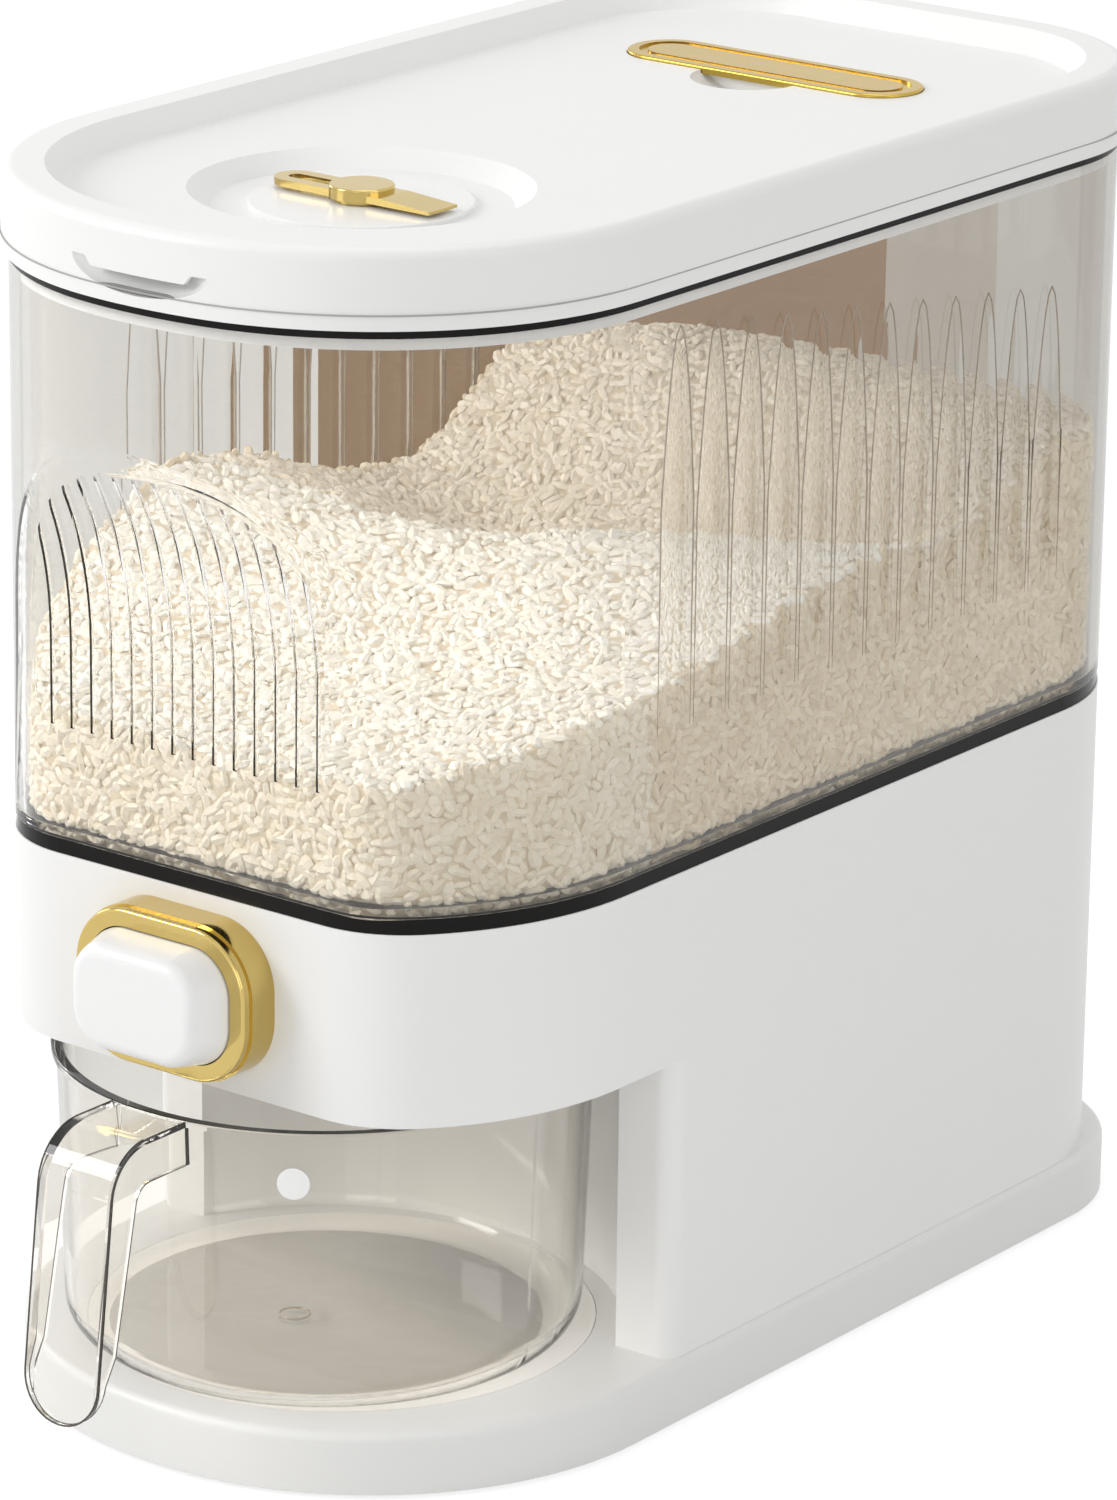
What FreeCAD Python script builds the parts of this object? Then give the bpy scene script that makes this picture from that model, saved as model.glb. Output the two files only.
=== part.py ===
import FreeCAD, Part
import math
import os

import Sketcher
from FreeCAD import Placement, Rotation, Vector

doc = FreeCAD.newDocument("RiceDispenser")

# ---------------------------------------------------------------------------
# Driving dimensions, in millimetres (angles in degrees).
# The frame: Z up, front towards -Y, origin under the middle of the object.
# ---------------------------------------------------------------------------
DIMENSIONS = [
    # the D-shaped plan that bin, lid and housing share
    ("half_width", 95, "half the width of the bin"),
    ("front_y", -164.3, "foremost point of the D"),
    ("rear_y", 195.7, "back of the D"),
    ("front_radius", 146, "flat curve across the front"),
    ("corner_inset", 7, "centre of the front corners from the middle"),
    ("rear_radius", 58, "rear corners"),
    ("flat_y", -146, "flat front of housing and lower bin"),
    ("flat_radius", 34, "round between flat front and D"),
    # base
    ("foot_gap", 1, "gap under the plinth"),
    ("base_height", 19, "top of the plinth"),
    ("base_side_step", 2, "plinth beyond the housing at the sides"),
    ("base_rear_step", 5.3, "plinth beyond the housing at the back"),
    ("base_front_radius", 152, "curve of the plinth's front"),
    ("base_corner_inset", 3, "centre of the plinth's corners from the middle"),
    ("base_rear_radius", 53, "rear corners of the plinth"),
    ("base_wall", 3, "plinth skin"),
    ("base_round", 2.5, "top edge of the plinth"),
    ("rib_thickness", 2, "ribs of plinth and housing"),
    ("rib_spacing", 36, "distance between plinth ribs"),
    ("foot_radius", 8, "rubber foot"),
    ("foot_recess", 1.5, "how deep the foot is let in"),
    ("foot_x", 62, "foot from the middle"),
    ("foot_front_y", -105, "front feet"),
    ("foot_rear_y", 158, "rear feet"),
    # cup bay and pad
    ("cup_y", -87.4, "axis of cup and bay"),
    ("bay_radius", 84, "round wall of the bay"),
    ("bay_height", 108, "underside of the overhang"),
    ("cheek_y", -52, "front faces beside the bay"),
    ("cheek_round", 6, "outer corner of a cheek"),
    ("pad_radius", 72.3, "inset pad under the cup"),
    ("pad_y", -80.4, "middle of the pad"),
    ("pad_thickness", 1.5, "inset pad"),
    # housing
    ("housing_top", 163, "top of the white housing"),
    ("housing_wall", 3, "housing skin"),
    ("ceiling", 2.5, "ceiling of the bay"),
    ("ledge_width", 4, "ledge that carries the hopper"),
    ("ledge_thickness", 3, "ledge that carries the hopper"),
    ("fit_gap", 0.2, "clearance between fitted pieces"),
    ("boss_radius", 4, "screw bosses"),
    ("boss_height", 15, "screw bosses"),
    ("screw_inset", 6.5, "side screws from the housing's side"),
    ("screw_front_y", -35, "side screws of the base"),
    ("screw_middle_y", 63, "side screws of the base"),
    ("screw_rear_x", 50, "rear screws of the base"),
    ("screw_rear_inset", 8.2, "rear screws from the housing's back"),
    ("screw_grip", 7, "skin and post under a base screw's head"),
    ("screw_length", 20, "shank of a base screw"),
    ("screw_radius", 1.5, "shank of a screw"),
    ("screw_head", 3, "radius of a screw head"),
    ("screw_head_height", 2.4, "height of a screw head"),
    ("thread_gap", 0.05, "between screw and hole"),
    # hopper
    ("flange_thickness", 3, "flange of the hopper"),
    ("hopper_wall", 3, "hopper skin"),
    ("outlet_half", 19.5, "half the outlet's width"),
    ("outlet_front_y", -58, "front edge of the outlet"),
    ("outlet_length", 10.5, "outlet from front to back"),
    ("neck_top", 120, "where the slopes meet the neck"),
    ("neck_bottom", 116.2, "underside of the neck's flange"),
    ("neck_flange", 2.8, "thickness of the neck's flange"),
    ("neck_flange_half", 43, "half the width of the neck's flange"),
    ("neck_flange_reach", 26, "neck flange before and behind the outlet"),
    # gate and its guide
    ("gate_thickness", 2.4, "sliding gate"),
    ("gate_half", 33, "half the width of the gate"),
    ("gate_gap", 0.15, "clearance round the gate"),
    ("gate_rear_y", -32, "rear end of the gate at rest"),
    ("travel", 11.5, "how far the button goes in"),
    ("guide_floor", 3, "floor of the gate's guide"),
    ("chute_wall", 2, "walls of the chute"),
    ("upstand_y", -131.1, "front face of the gate's upstand"),
    ("upstand_thickness", 2.5, "gate's upstand"),
    ("upstand_half", 14, "half the width of the upstand"),
    ("guide_screw_y", 18, "guide screws before and behind the outlet"),
    # button and bezel
    ("button_z", 135.8, "middle of the button"),
    ("bezel_half_x", 30.4, "bezel outside"),
    ("bezel_half_z", 22.4, "bezel outside"),
    ("bezel_corner", 18.5, "bezel outside"),
    ("bezel_width", 4.8, "front face of the bezel"),
    ("bezel_depth", 12.4, "bezel stands out of the housing"),
    ("bezel_step", 3.2, "depth of the bezel's raised lip"),
    ("bezel_step_width", 0.6, "ledge beside the raised lip"),
    ("button_gap", 0.4, "between button and bezel"),
    ("button_front_y", -170.5, "face of the button"),
    ("button_rear_y", -147.5, "rear rim of the button"),
    ("button_draft", 3.6, "taper of the button's sides"),
    ("button_round", 4, "soft front edge of the button"),
    ("button_wall", 2.2, "button skin"),
    ("post_radius", 4.5, "post inside the button"),
    # return spring
    ("spring_radius", 3.6, "middle of the wire"),
    ("spring_wire", 0.55, "radius of the wire"),
    ("spring_turns", 5, "coils"),
    ("spring_z", 124.5, "axis of the spring"),
    # bin
    ("gasket_height", 4.5, "dark band"),
    ("gasket_inset", 0.4, "band inside the housing's face"),
    ("bin_wall", 2.8, "clear wall"),
    ("bin_top", 328, "top of the clear wall"),
    ("skirt_wall", 2.4, "locating skirt inside the housing"),
    ("sill_height", 2.5, "sill that joins wall and skirt"),
    ("scoop_radius", 100, "hollow curve above the flat front"),
    ("scoop_start", 226, "where the hollow curve begins"),
    ("edge_round_low", 33, "front corners at the bin's foot"),
    ("edge_round_middle", 14, "where the scoop begins"),
    ("edge_round_top", 8, "edge of the scoop at its top"),
    ("groove_count", 14, "grooves in the scoop"),
    ("groove_pitch", 7.2, "grooves in the scoop"),
    ("groove_shift", -1.5, "grooves from the middle"),
    ("groove_width", 1.2, "grooves in the scoop"),
    ("groove_depth", 0.9, "grooves in the scoop"),
    ("groove_foot", 200, "lower end of the grooves"),
    ("groove_head", 6, "grooves stop below the scoop's edge"),
    ("flute_count", 12, "flutes in each side wall"),
    ("flute_pitch", 16.2, "from one flute to the next"),
    ("flute_first_y", -55.2, "foremost flute"),
    ("flute_width", 15, "flutes in the side walls"),
    ("flute_depth", 0.9, "flutes in the side walls"),
    ("flute_tip", 318, "point of the foremost flute"),
    ("flute_drop", 2.2, "each flute's point below the one before it"),
    ("flute_point", 50, "height of a flute's point"),
    ("flute_foot", 196, "lower end of the flutes"),
    ("flute_fade", 30, "height over which a flute's foot fades"),
    # lid frame, hinge
    ("seal_height", 1, "black seal under the frame"),
    ("frame_height", 11, "white frame"),
    ("lid_overlap", 2, "frame and lid beyond the bin"),
    ("frame_inset", 8, "opening of the frame inside the bin's face"),
    ("hinge_inset", 3, "hinge axis inside the lid's back"),
    ("hinge_recess", 5, "round trough for the hinge"),
    ("knuckle_radius", 3.4, "hinge knuckles"),
    ("pin_radius", 1.25, "hinge pin"),
    ("running_gap", 0.05, "round pins and shafts"),
    ("middle_knuckle", 14, "half the length of the frame's knuckle"),
    ("outer_knuckle", 19, "length of a lid knuckle"),
    ("knuckle_gap", 0.6, "between knuckles"),
    ("recess_half", 62, "half the length of the hinge trough"),
    ("notch_half_x", 24, "finger scoop in the frame"),
    ("notch_depth", 7, "finger scoop in the frame"),
    ("notch_half_z", 8, "finger scoop in the frame"),
    ("lip_half", 16, "lid's finger lip"),
    ("lip_drop", 2.5, "lid's finger lip"),
    # lid
    ("lid_height", 11, "lid above the seam"),
    ("lid_wall", 2.5, "lid skin"),
    ("lid_round", 3.5, "top edge of the lid"),
    ("rim_width", 12, "flat rim of the lid"),
    ("tray_slope", 4, "run of the tray's sloping wall"),
    ("tray_depth", 7, "tray below the rim"),
    ("plug_inset", 10, "lid's plug inside the bin's face"),
    ("plug_wall", 2.5, "lid's plug"),
    ("plug_depth", 7, "lid's plug below the seam"),
    ("lid_seal_width", 1.6, "silicone ring"),
    ("lid_seal_height", 3, "silicone ring"),
    # dial and key
    ("dial_y", -72.5, "middle of the dial"),
    ("dial_rim_radius", 47.5, "dial pocket at the tray"),
    ("dial_floor_radius", 41.5, "dial pocket at its floor"),
    ("dial_depth", 5, "dial pocket below the tray"),
    ("disc_radius", 31, "dial disc"),
    ("disc_thickness", 1.4, "dial disc"),
    ("knob_radius", 9, "key's knob"),
    ("knob_neck", 7.6, "key's knob below the bow"),
    ("knob_height", 4.6, "key's knob above the disc"),
    ("bow_thickness", 2, "key's bow"),
    ("bow_lift", 1.1, "bow above the disc"),
    ("bow_half", 6.2, "half the bow's width"),
    ("bow_reach", 29, "loop from the axis"),
    ("tongue_reach", 28, "tongue from the axis"),
    ("bow_slot", 2.2, "half the slot's width"),
    ("shaft_radius", 3, "key's shaft"),
    ("shaft_length", 14, "key's shaft"),
    # desiccant box and its cover
    ("cover_y", 117, "middle of the cover"),
    ("cover_half", 50, "half the cover's length"),
    ("cover_radius", 13.3, "half the cover's width"),
    ("cover_thickness", 2.2, "cover plate"),
    ("cover_proud", 1, "cover above the tray"),
    ("cover_rim", 3.4, "flat rim of the cover"),
    ("cover_hollow", 0.7, "cover's sunken field"),
    ("box_half", 42, "half the box's inner length"),
    ("box_y", 118.5, "middle of the desiccant box"),
    ("box_radius", 9, "half the box's inner width"),
    ("box_wall", 1.6, "box skin"),
    ("box_depth", 22, "box below the lid's floor"),
    ("scoop_finger", 16.5, "finger scoop beside the cover"),
    # cup
    ("cup_top", 104, "rim of the cup"),
    ("cup_radius", 75.2, "cup wall under the rim"),
    ("cup_foot_radius", 72.3, "cup wall at the floor, before rounding"),
    ("cup_round", 11, "round at the cup's floor"),
    ("cup_rim_radius", 76.6, "rim"),
    ("cup_rim_height", 2.4, "rim"),
    ("cup_wall", 2, "cup skin"),
    ("cup_floor", 2.4, "cup floor"),
    # handle
    ("handle_half", 13, "half the handle's width"),
    ("handle_wall", 2.2, "handle skin"),
    ("handle_top", 103.6, "top of the handle's arm"),
    ("handle_arm", 12.5, "height of the handle's arm"),
    ("handle_front", -201, "foremost point of the handle"),
    ("handle_foot", 24.5, "lower end of the handle"),
    ("handle_lean", 7.5, "how far the grip leans out"),
    ("handle_bend", 16, "outer bend of the handle"),
    ("handle_depth", 9, "depth of the grip's channel"),
]

sheet = doc.addObject("Spreadsheet::Sheet", "Sizes")
for row, (alias, value, note) in enumerate(DIMENSIONS, start=1):
    sheet.set("A%d" % row, alias)
    sheet.set("B%d" % row, str(value))
    sheet.set("C%d" % row, note)
    sheet.setAlias("B%d" % row, alias)
doc.recompute()


class Size(float):
    """A number that keeps the spreadsheet formula it was worked out from."""

    def __new__(cls, value, formula):
        made = float.__new__(cls, value)
        made.formula = formula
        return made

    def __add__(self, other):
        return Size(float(self) + float(other), "(%s + %s)" % (self.formula, text_of(other)))

    def __radd__(self, other):
        return Size(float(other) + float(self), "(%s + %s)" % (text_of(other), self.formula))

    def __sub__(self, other):
        return Size(float(self) - float(other), "(%s - %s)" % (self.formula, text_of(other)))

    def __rsub__(self, other):
        return Size(float(other) - float(self), "(%s - %s)" % (text_of(other), self.formula))

    def __mul__(self, other):
        return Size(float(self) * float(other), "(%s * %s)" % (self.formula, text_of(other)))

    __rmul__ = __mul__

    def __truediv__(self, other):
        return Size(float(self) / float(other), "(%s / %s)" % (self.formula, text_of(other)))

    def __neg__(self):
        return Size(-float(self), "(-1 * %s)" % self.formula)


def text_of(value):
    """The formula of a size, or the digits of a plain number."""
    return value.formula if isinstance(value, Size) else repr(float(value))


def root_of(value):
    return Size(math.sqrt(value), "sqrt(%s)" % value.formula)


class Sheet:
    """Reads the spreadsheet's cells as sizes: S.half_width and so on."""

    def __getattr__(self, alias):
        return Size(sheet.get(alias), "Sizes." + alias)


S = Sheet()

# Levels and places that follow from the driving dimensions
GASKET_TOP = S.housing_top + S.gasket_height
FRAME_BOTTOM = S.bin_top + S.seal_height
SEAM = FRAME_BOTTOM + S.frame_height
LID_TOP = SEAM + S.lid_height
TRAY = LID_TOP - S.tray_depth
LID_FLOOR = TRAY - S.lid_wall
DIAL_FLOOR = TRAY - S.dial_depth
DISC_TOP = DIAL_FLOOR + S.disc_thickness
HINGE_Y = S.rear_y + S.lid_overlap - S.hinge_inset
LEDGE_TOP = S.housing_top - S.flange_thickness
GATE_BOTTOM = S.neck_bottom - S.gate_gap - S.gate_thickness
GUIDE_TOP = GATE_BOTTOM - S.gate_gap
GUIDE_BOTTOM = GUIDE_TOP - S.guide_floor
OUTLET_REAR_Y = S.outlet_front_y + S.outlet_length
OUTLET_MIDDLE_Y = S.outlet_front_y + S.outlet_length / 2
PLUG_BOTTOM = SEAM - S.plug_depth
CUP_BOTTOM = S.base_height + 0.0
UNDER = 1.0  # how far a cutting tool reaches past the face that it cuts


# ---------------------------------------------------------------------------
# Helpers that make bound objects
# ---------------------------------------------------------------------------
def name_of(label):
    return "".join(word.capitalize() for word in label.split("_"))


def bind(thing, **values):
    """Set properties and tie each to the spreadsheet."""
    for prop, value in values.items():
        path = prop.replace("__", ".")
        if isinstance(value, Size):
            thing.setExpression(path, value.formula)
        elif "." not in path:
            setattr(thing, path, value)


def place(thing, x=0.0, y=0.0, z=0.0, turn=None):
    thing.Placement = Placement(Vector(x, y, z), turn or Rotation())
    bind(thing, Placement__Base__x=x, Placement__Base__y=y, Placement__Base__z=z)
    return thing


def add(kind, name, **values):
    thing = doc.addObject(kind, name)
    for prop, value in values.items():
        setattr(thing, prop, value)
    bind(thing, **values)
    return thing


def box(name, x0, x1, y0, y1, z0, z1):
    thing = add("Part::Box", name, Length=x1 - x0, Width=y1 - y0, Height=z1 - z0)
    return place(thing, x0, y0, z0)


def cylinder(name, radius, x, y, z0, z1):
    thing = add("Part::Cylinder", name, Radius=radius, Height=z1 - z0)
    return place(thing, x, y, z0)


def bar(name, radius, x0, x1, y, z):
    """A cylinder that lies along X."""
    thing = add("Part::Cylinder", name, Radius=radius, Height=x1 - x0)
    return place(thing, x0, y, z, Rotation(Vector(0, 1, 0), 90))


def rod(name, radius, x, z, y0, y1):
    """A cylinder that lies along Y."""
    thing = add("Part::Cylinder", name, Radius=radius, Height=y1 - y0)
    return place(thing, x, y0, z, Rotation(Vector(1, 0, 0), -90))


def cone(name, low, high, x, y, z0, z1):
    thing = add("Part::Cone", name, Radius1=low, Radius2=high, Height=z1 - z0)
    return place(thing, x, y, z0)


def cut(name, base, tool):
    return add("Part::Cut", name, Base=base, Tool=tool)


def common(name, base, tool):
    return add("Part::Common", name, Base=base, Tool=tool)


def fuse(name, *shapes):
    return add("Part::MultiFuse", name, Shapes=list(shapes))


def group(name, *shapes):
    return add("Part::Compound", name, Links=list(shapes))


def edges_where(thing, test):
    """Numbers of the edges whose middle and box pass the test."""
    doc.recompute()
    found = []
    for number, edge in enumerate(thing.Shape.Edges, start=1):
        middle = edge.valueAt((edge.FirstParameter + edge.LastParameter) / 2)
        if test(edge, middle):
            found.append(number)
    return found


def fillet(name, base, radius, test):
    numbers = edges_where(base, test)
    if not numbers:
        raise ValueError("no edge to round for " + name)
    thing = doc.addObject("Part::Fillet", name)
    thing.Base = base
    thing.Edges = [(number, float(radius), float(radius)) for number in numbers]
    return thing


def flat_at(level):
    """Test for edges that lie all along one height."""
    return lambda edge, middle: edge.BoundBox.ZLength < 1e-4 and abs(middle.z - level) < 1e-4


def close_up(sketch, count):
    """Join each element's end to the next one's start, smoothly."""
    for index in range(count):
        sketch.addConstraint(Sketcher.Constraint("Tangent", index, 2, (index + 1) % count, 1))


def fix(sketch, kind, *where):
    """Add a constraint whose last entry is a size, tied to the spreadsheet."""
    *place_of, value = where
    if value < 0:
        place_of = place_of[2:] + place_of[:2]
        value = -value
    number = sketch.addConstraint(Sketcher.Constraint(kind, *place_of, float(value)))
    if isinstance(value, Size):
        sketch.setExpression("Constraints[%d]" % number, value.formula)


def arc(sketch, centre, radius, start, end):
    """Add an arc that runs anticlockwise between two points."""
    circle = Part.Circle(Vector(centre[0], centre[1], 0), Vector(0, 0, 1), radius)
    first = math.atan2(start[1] - centre[1], start[0] - centre[0])
    last = math.atan2(end[1] - centre[1], end[0] - centre[0])
    if last <= first:
        last += 2 * math.pi
    return sketch.addGeometry(Part.ArcOfCircle(circle, first, last), False)


def line(sketch, start, end):
    segment = Part.LineSegment(Vector(start[0], start[1], 0), Vector(end[0], end[1], 0))
    return sketch.addGeometry(segment, False)


class Plan:
    """The arcs and lines of a D-shaped plan, seen from above."""

    def __init__(self, half, front, rear, front_radius, corner_inset, rear_radius):
        self.half, self.front, self.rear = half, front, rear
        self.front_radius, self.rear_radius = front_radius, rear_radius
        self.corner_radius = corner_radius = half - corner_inset
        self.front_centre = front + front_radius
        self.corner_x = corner_inset
        reach = front_radius - corner_radius
        self.corner_y = self.front_centre - root_of(reach * reach - self.corner_x * self.corner_x)

    def sketch(self, name, grow, level, flat=False, owner=None):
        """A closed outline, grown outwards, with or without the flat front."""
        if owner:
            sketch = owner.newObject("Sketcher::SketchObject", name)
        else:
            sketch = doc.addObject("Sketcher::SketchObject", name)
        half, rear = self.half + grow, self.rear + grow
        corner, back = self.corner_radius + grow, self.rear_radius + grow
        cx, cy = self.corner_x, self.corner_y
        bx, by = self.half - self.rear_radius, self.rear - self.rear_radius
        side, end = (half, cy), (half, by)
        if flat:
            face, blend = S.flat_y - grow, S.flat_radius + grow
            fy = S.flat_y + S.flat_radius
            reach = self.corner_radius - S.flat_radius
            fx = cx + root_of(reach * reach - (fy - cy) * (fy - cy))
            meet = touch((cx, cy), (fx, fy), corner)
            line(sketch, (-fx, face), (fx, face))
            arc(sketch, (fx, fy), blend, (fx, face), meet)
        else:
            wide = self.front_radius + grow
            meet = touch((0, self.front_centre), (cx, cy), wide)
            arc(sketch, (0, self.front_centre), wide, (-meet[0], meet[1]), meet)
        arc(sketch, (cx, cy), corner, meet, side)
        line(sketch, side, end)
        arc(sketch, (bx, by), back, end, (bx, rear))
        line(sketch, (bx, rear), (-bx, rear))
        arc(sketch, (-bx, by), back, (-bx, rear), (-half, by))
        line(sketch, (-half, by), (-half, cy))
        arc(sketch, (-cx, cy), corner, (-half, cy), (-meet[0], meet[1]))
        if flat:
            arc(sketch, (-fx, fy), blend, (-meet[0], meet[1]), (-fx, face))
        count = sketch.GeometryCount
        close_up(sketch, count)
        first = 2 if flat else 1  # the right-hand corner arc
        right, back_arc, rear_line = first + 1, first + 2, first + 3
        left = first + 5
        sketch.addConstraint(Sketcher.Constraint("Vertical", right))
        sketch.addConstraint(Sketcher.Constraint("Vertical", left))
        sketch.addConstraint(Sketcher.Constraint("Horizontal", rear_line))
        sketch.addConstraint(Sketcher.Constraint("Equal", first, first + 6))
        sketch.addConstraint(Sketcher.Constraint("Equal", back_arc, first + 4))
        fix(sketch, "Radius", first, corner)
        fix(sketch, "Radius", back_arc, back)
        fix(sketch, "DistanceX", -1, 1, right, 1, half)
        fix(sketch, "DistanceX", left, 1, -1, 1, half)
        fix(sketch, "DistanceY", -1, 1, rear_line, 1, rear)
        if flat:
            sketch.addConstraint(Sketcher.Constraint("Horizontal", 0))
            sketch.addConstraint(Sketcher.Constraint("Equal", 1, 9))
            fix(sketch, "Radius", 1, blend)
            fix(sketch, "DistanceY", -1, 1, 0, 1, face)
            fix(sketch, "DistanceY", -1, 1, first, 3, cy)
            fix(sketch, "DistanceY", -1, 1, first + 6, 3, cy)
        else:
            sketch.addConstraint(Sketcher.Constraint("PointOnObject", 0, 3, -2))
            fix(sketch, "Radius", 0, wide)
            fix(sketch, "DistanceY", -1, 1, 0, 3, self.front_centre)
        return place(sketch, 0, 0, level)

    def prism(self, name, grow, low, high, flat=False):
        outline = self.sketch(name + "Outline", grow, low, flat)
        return extrude(name, outline, high - low)


def touch(centre, other, radius):
    """Where two arcs that touch from inside share a point."""
    dx, dy = other[0] - centre[0], other[1] - centre[1]
    length = math.hypot(dx, dy)
    return (centre[0] + radius * dx / length, centre[1] + radius * dy / length)


def extrude(name, outline, length):
    thing = doc.addObject("Part::Extrusion", name)
    thing.Base = outline
    thing.DirMode = "Normal"
    thing.Solid = True
    thing.LengthFwd = float(length)
    bind(thing, LengthFwd=length)
    return thing


def rounded(name, half_x, half_y, corner, owner=None):
    """A rectangle with round corners about its own middle."""
    if owner:
        sketch = owner.newObject("Sketcher::SketchObject", name)
    else:
        sketch = doc.addObject("Sketcher::SketchObject", name)
    hx, hy, r = float(half_x), float(half_y), float(corner)
    ix, iy = hx - r, hy - r
    line(sketch, (-ix, -hy), (ix, -hy))
    arc(sketch, (ix, -iy), r, (ix, -hy), (hx, -iy))
    line(sketch, (hx, -iy), (hx, iy))
    arc(sketch, (ix, iy), r, (hx, iy), (ix, hy))
    line(sketch, (ix, hy), (-ix, hy))
    arc(sketch, (-ix, iy), r, (-ix, hy), (-hx, iy))
    line(sketch, (-hx, iy), (-hx, -iy))
    arc(sketch, (-ix, -iy), r, (-hx, -iy), (-ix, -hy))
    close_up(sketch, 8)
    for level in (0, 4):
        sketch.addConstraint(Sketcher.Constraint("Horizontal", level))
    for upright in (2, 6):
        sketch.addConstraint(Sketcher.Constraint("Vertical", upright))
    for other in (3, 5, 7):
        sketch.addConstraint(Sketcher.Constraint("Equal", 1, other))
    fix(sketch, "Radius", 1, corner)
    fix(sketch, "DistanceX", -1, 1, 2, 1, half_x)
    fix(sketch, "DistanceX", 6, 1, -1, 1, half_x)
    fix(sketch, "DistanceY", -1, 1, 4, 1, half_y)
    fix(sketch, "DistanceY", 0, 1, -1, 1, half_y)
    return sketch


def stadium(name, half, radius, x=0.0, y=0.0, z=0.0):
    """A slot shape along X: half is half its whole length."""
    sketch = doc.addObject("Sketcher::SketchObject", name)
    reach, r = float(half) - float(radius), float(radius)
    line(sketch, (-reach, -r), (reach, -r))
    arc(sketch, (reach, 0), r, (reach, -r), (reach, r))
    line(sketch, (reach, r), (-reach, r))
    arc(sketch, (-reach, 0), r, (-reach, r), (-reach, -r))
    close_up(sketch, 4)
    sketch.addConstraint(Sketcher.Constraint("Horizontal", 0))
    sketch.addConstraint(Sketcher.Constraint("PointOnObject", 1, 3, -1))
    fix(sketch, "Radius", 1, radius)
    fix(sketch, "DistanceX", -1, 1, 1, 3, half - radius)
    fix(sketch, "DistanceX", 3, 3, -1, 1, half - radius)
    return place(sketch, x, y, z)


def stadium_prism(name, half, radius, y, low, high):
    return extrude(name, stadium(name + "Outline", half, radius, 0.0, y, low), high - low)


def outline(name, points, turn=None, shift=(0.0, 0.0, 0.0)):
    """A closed polygon whose corners are all tied to the spreadsheet."""
    sketch = doc.addObject("Sketcher::SketchObject", name)
    count = len(points)
    for index, start in enumerate(points):
        line(sketch, start, points[(index + 1) % count])
    for index in range(count):
        sketch.addConstraint(
            Sketcher.Constraint("Coincident", index, 2, (index + 1) % count, 1)
        )
    for index, (u, v) in enumerate(points):
        if abs(u) < 1e-9:
            sketch.addConstraint(Sketcher.Constraint("PointOnObject", index, 1, -2))
        else:
            fix(sketch, "DistanceX", -1, 1, index, 1, u)
        if abs(v) < 1e-9:
            sketch.addConstraint(Sketcher.Constraint("PointOnObject", index, 1, -1))
        else:
            fix(sketch, "DistanceY", -1, 1, index, 1, v)
    return place(sketch, *shift, turn=turn)


SIDEWAYS = Rotation(Vector(1, 1, 1), 120)  # lays a sketch into the YZ plane
FACING = Rotation(Vector(1, 0, 0), 90)  # stands a sketch up to face the front


def side_prism(name, points, x0, x1):
    """A (y, z) polygon pushed out along X."""
    return extrude(name, outline(name + "Outline", points, SIDEWAYS, (x0, 0.0, 0.0)), x1 - x0)


def front_prism(name, points, y0, y1):
    """An (x, z) polygon pushed out along Y, from y1 back to y0."""
    return extrude(name, outline(name + "Outline", points, FACING, (0.0, y1, 0.0)), y1 - y0)


def turned(name, points, x=0.0, y=0.0):
    """An (r, z) polygon turned about the upright axis through (x, y)."""
    sketch = outline(name + "Outline", points, FACING)
    thing = doc.addObject("Part::Revolution", name)
    thing.Source = sketch
    thing.Axis = Vector(0, 0, 1)
    thing.Base = Vector(0, 0, 0)
    thing.Angle = 360
    thing.Solid = True
    return place(thing, x, y, 0.0)


def loft(name, *sections, ruled=True):
    thing = doc.addObject("Part::Loft", name)
    thing.Sections = list(sections)
    thing.Solid = True
    thing.Ruled = ruled
    return thing


def facing_oval(name, half_x, half_z, corner, y):
    """A rounded rectangle that faces the front, centred on the button."""
    sketch = rounded(name, half_x, half_z, corner)
    return place(sketch, 0.0, y, S.button_z, FACING)


def oval_prism(name, half_x, half_z, corner, y0, y1):
    return extrude(name, facing_oval(name + "Outline", half_x, half_z, corner, y1), y1 - y0)


D = Plan(S.half_width, S.front_y, S.rear_y, S.front_radius, S.corner_inset, S.rear_radius)
BASE = Plan(
    S.half_width + S.base_side_step,
    S.front_y,
    S.rear_y + S.base_rear_step,
    S.base_front_radius,
    S.base_corner_inset,
    S.base_rear_radius,
)

NODES = []


def node(label, thing):
    """Register a finished sub-part under its own name."""
    thing.Label = label
    NODES.append(thing)
    return thing


# ---------------------------------------------------------------------------
# Base: plinth, feet, inset pad, screws
# ---------------------------------------------------------------------------
CAVITY_TOP = S.base_height - S.base_wall
SCREW_X = S.half_width - S.screw_inset
SCREW_PLACES = [
    (SCREW_X, S.screw_front_y),
    (SCREW_X, S.screw_middle_y),
    (S.screw_rear_x, S.rear_y - S.screw_rear_inset),
]
SCREW_PLACES += [(-x, y) for x, y in SCREW_PLACES]
FOOT_PLACES = [
    (S.foot_x, S.foot_front_y),
    (-S.foot_x, S.foot_front_y),
    (S.foot_x, S.foot_rear_y),
    (-S.foot_x, S.foot_rear_y),
]
HEAD_TOP = S.base_height - S.screw_grip
HEAD_BOTTOM = HEAD_TOP - S.screw_head_height

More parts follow.
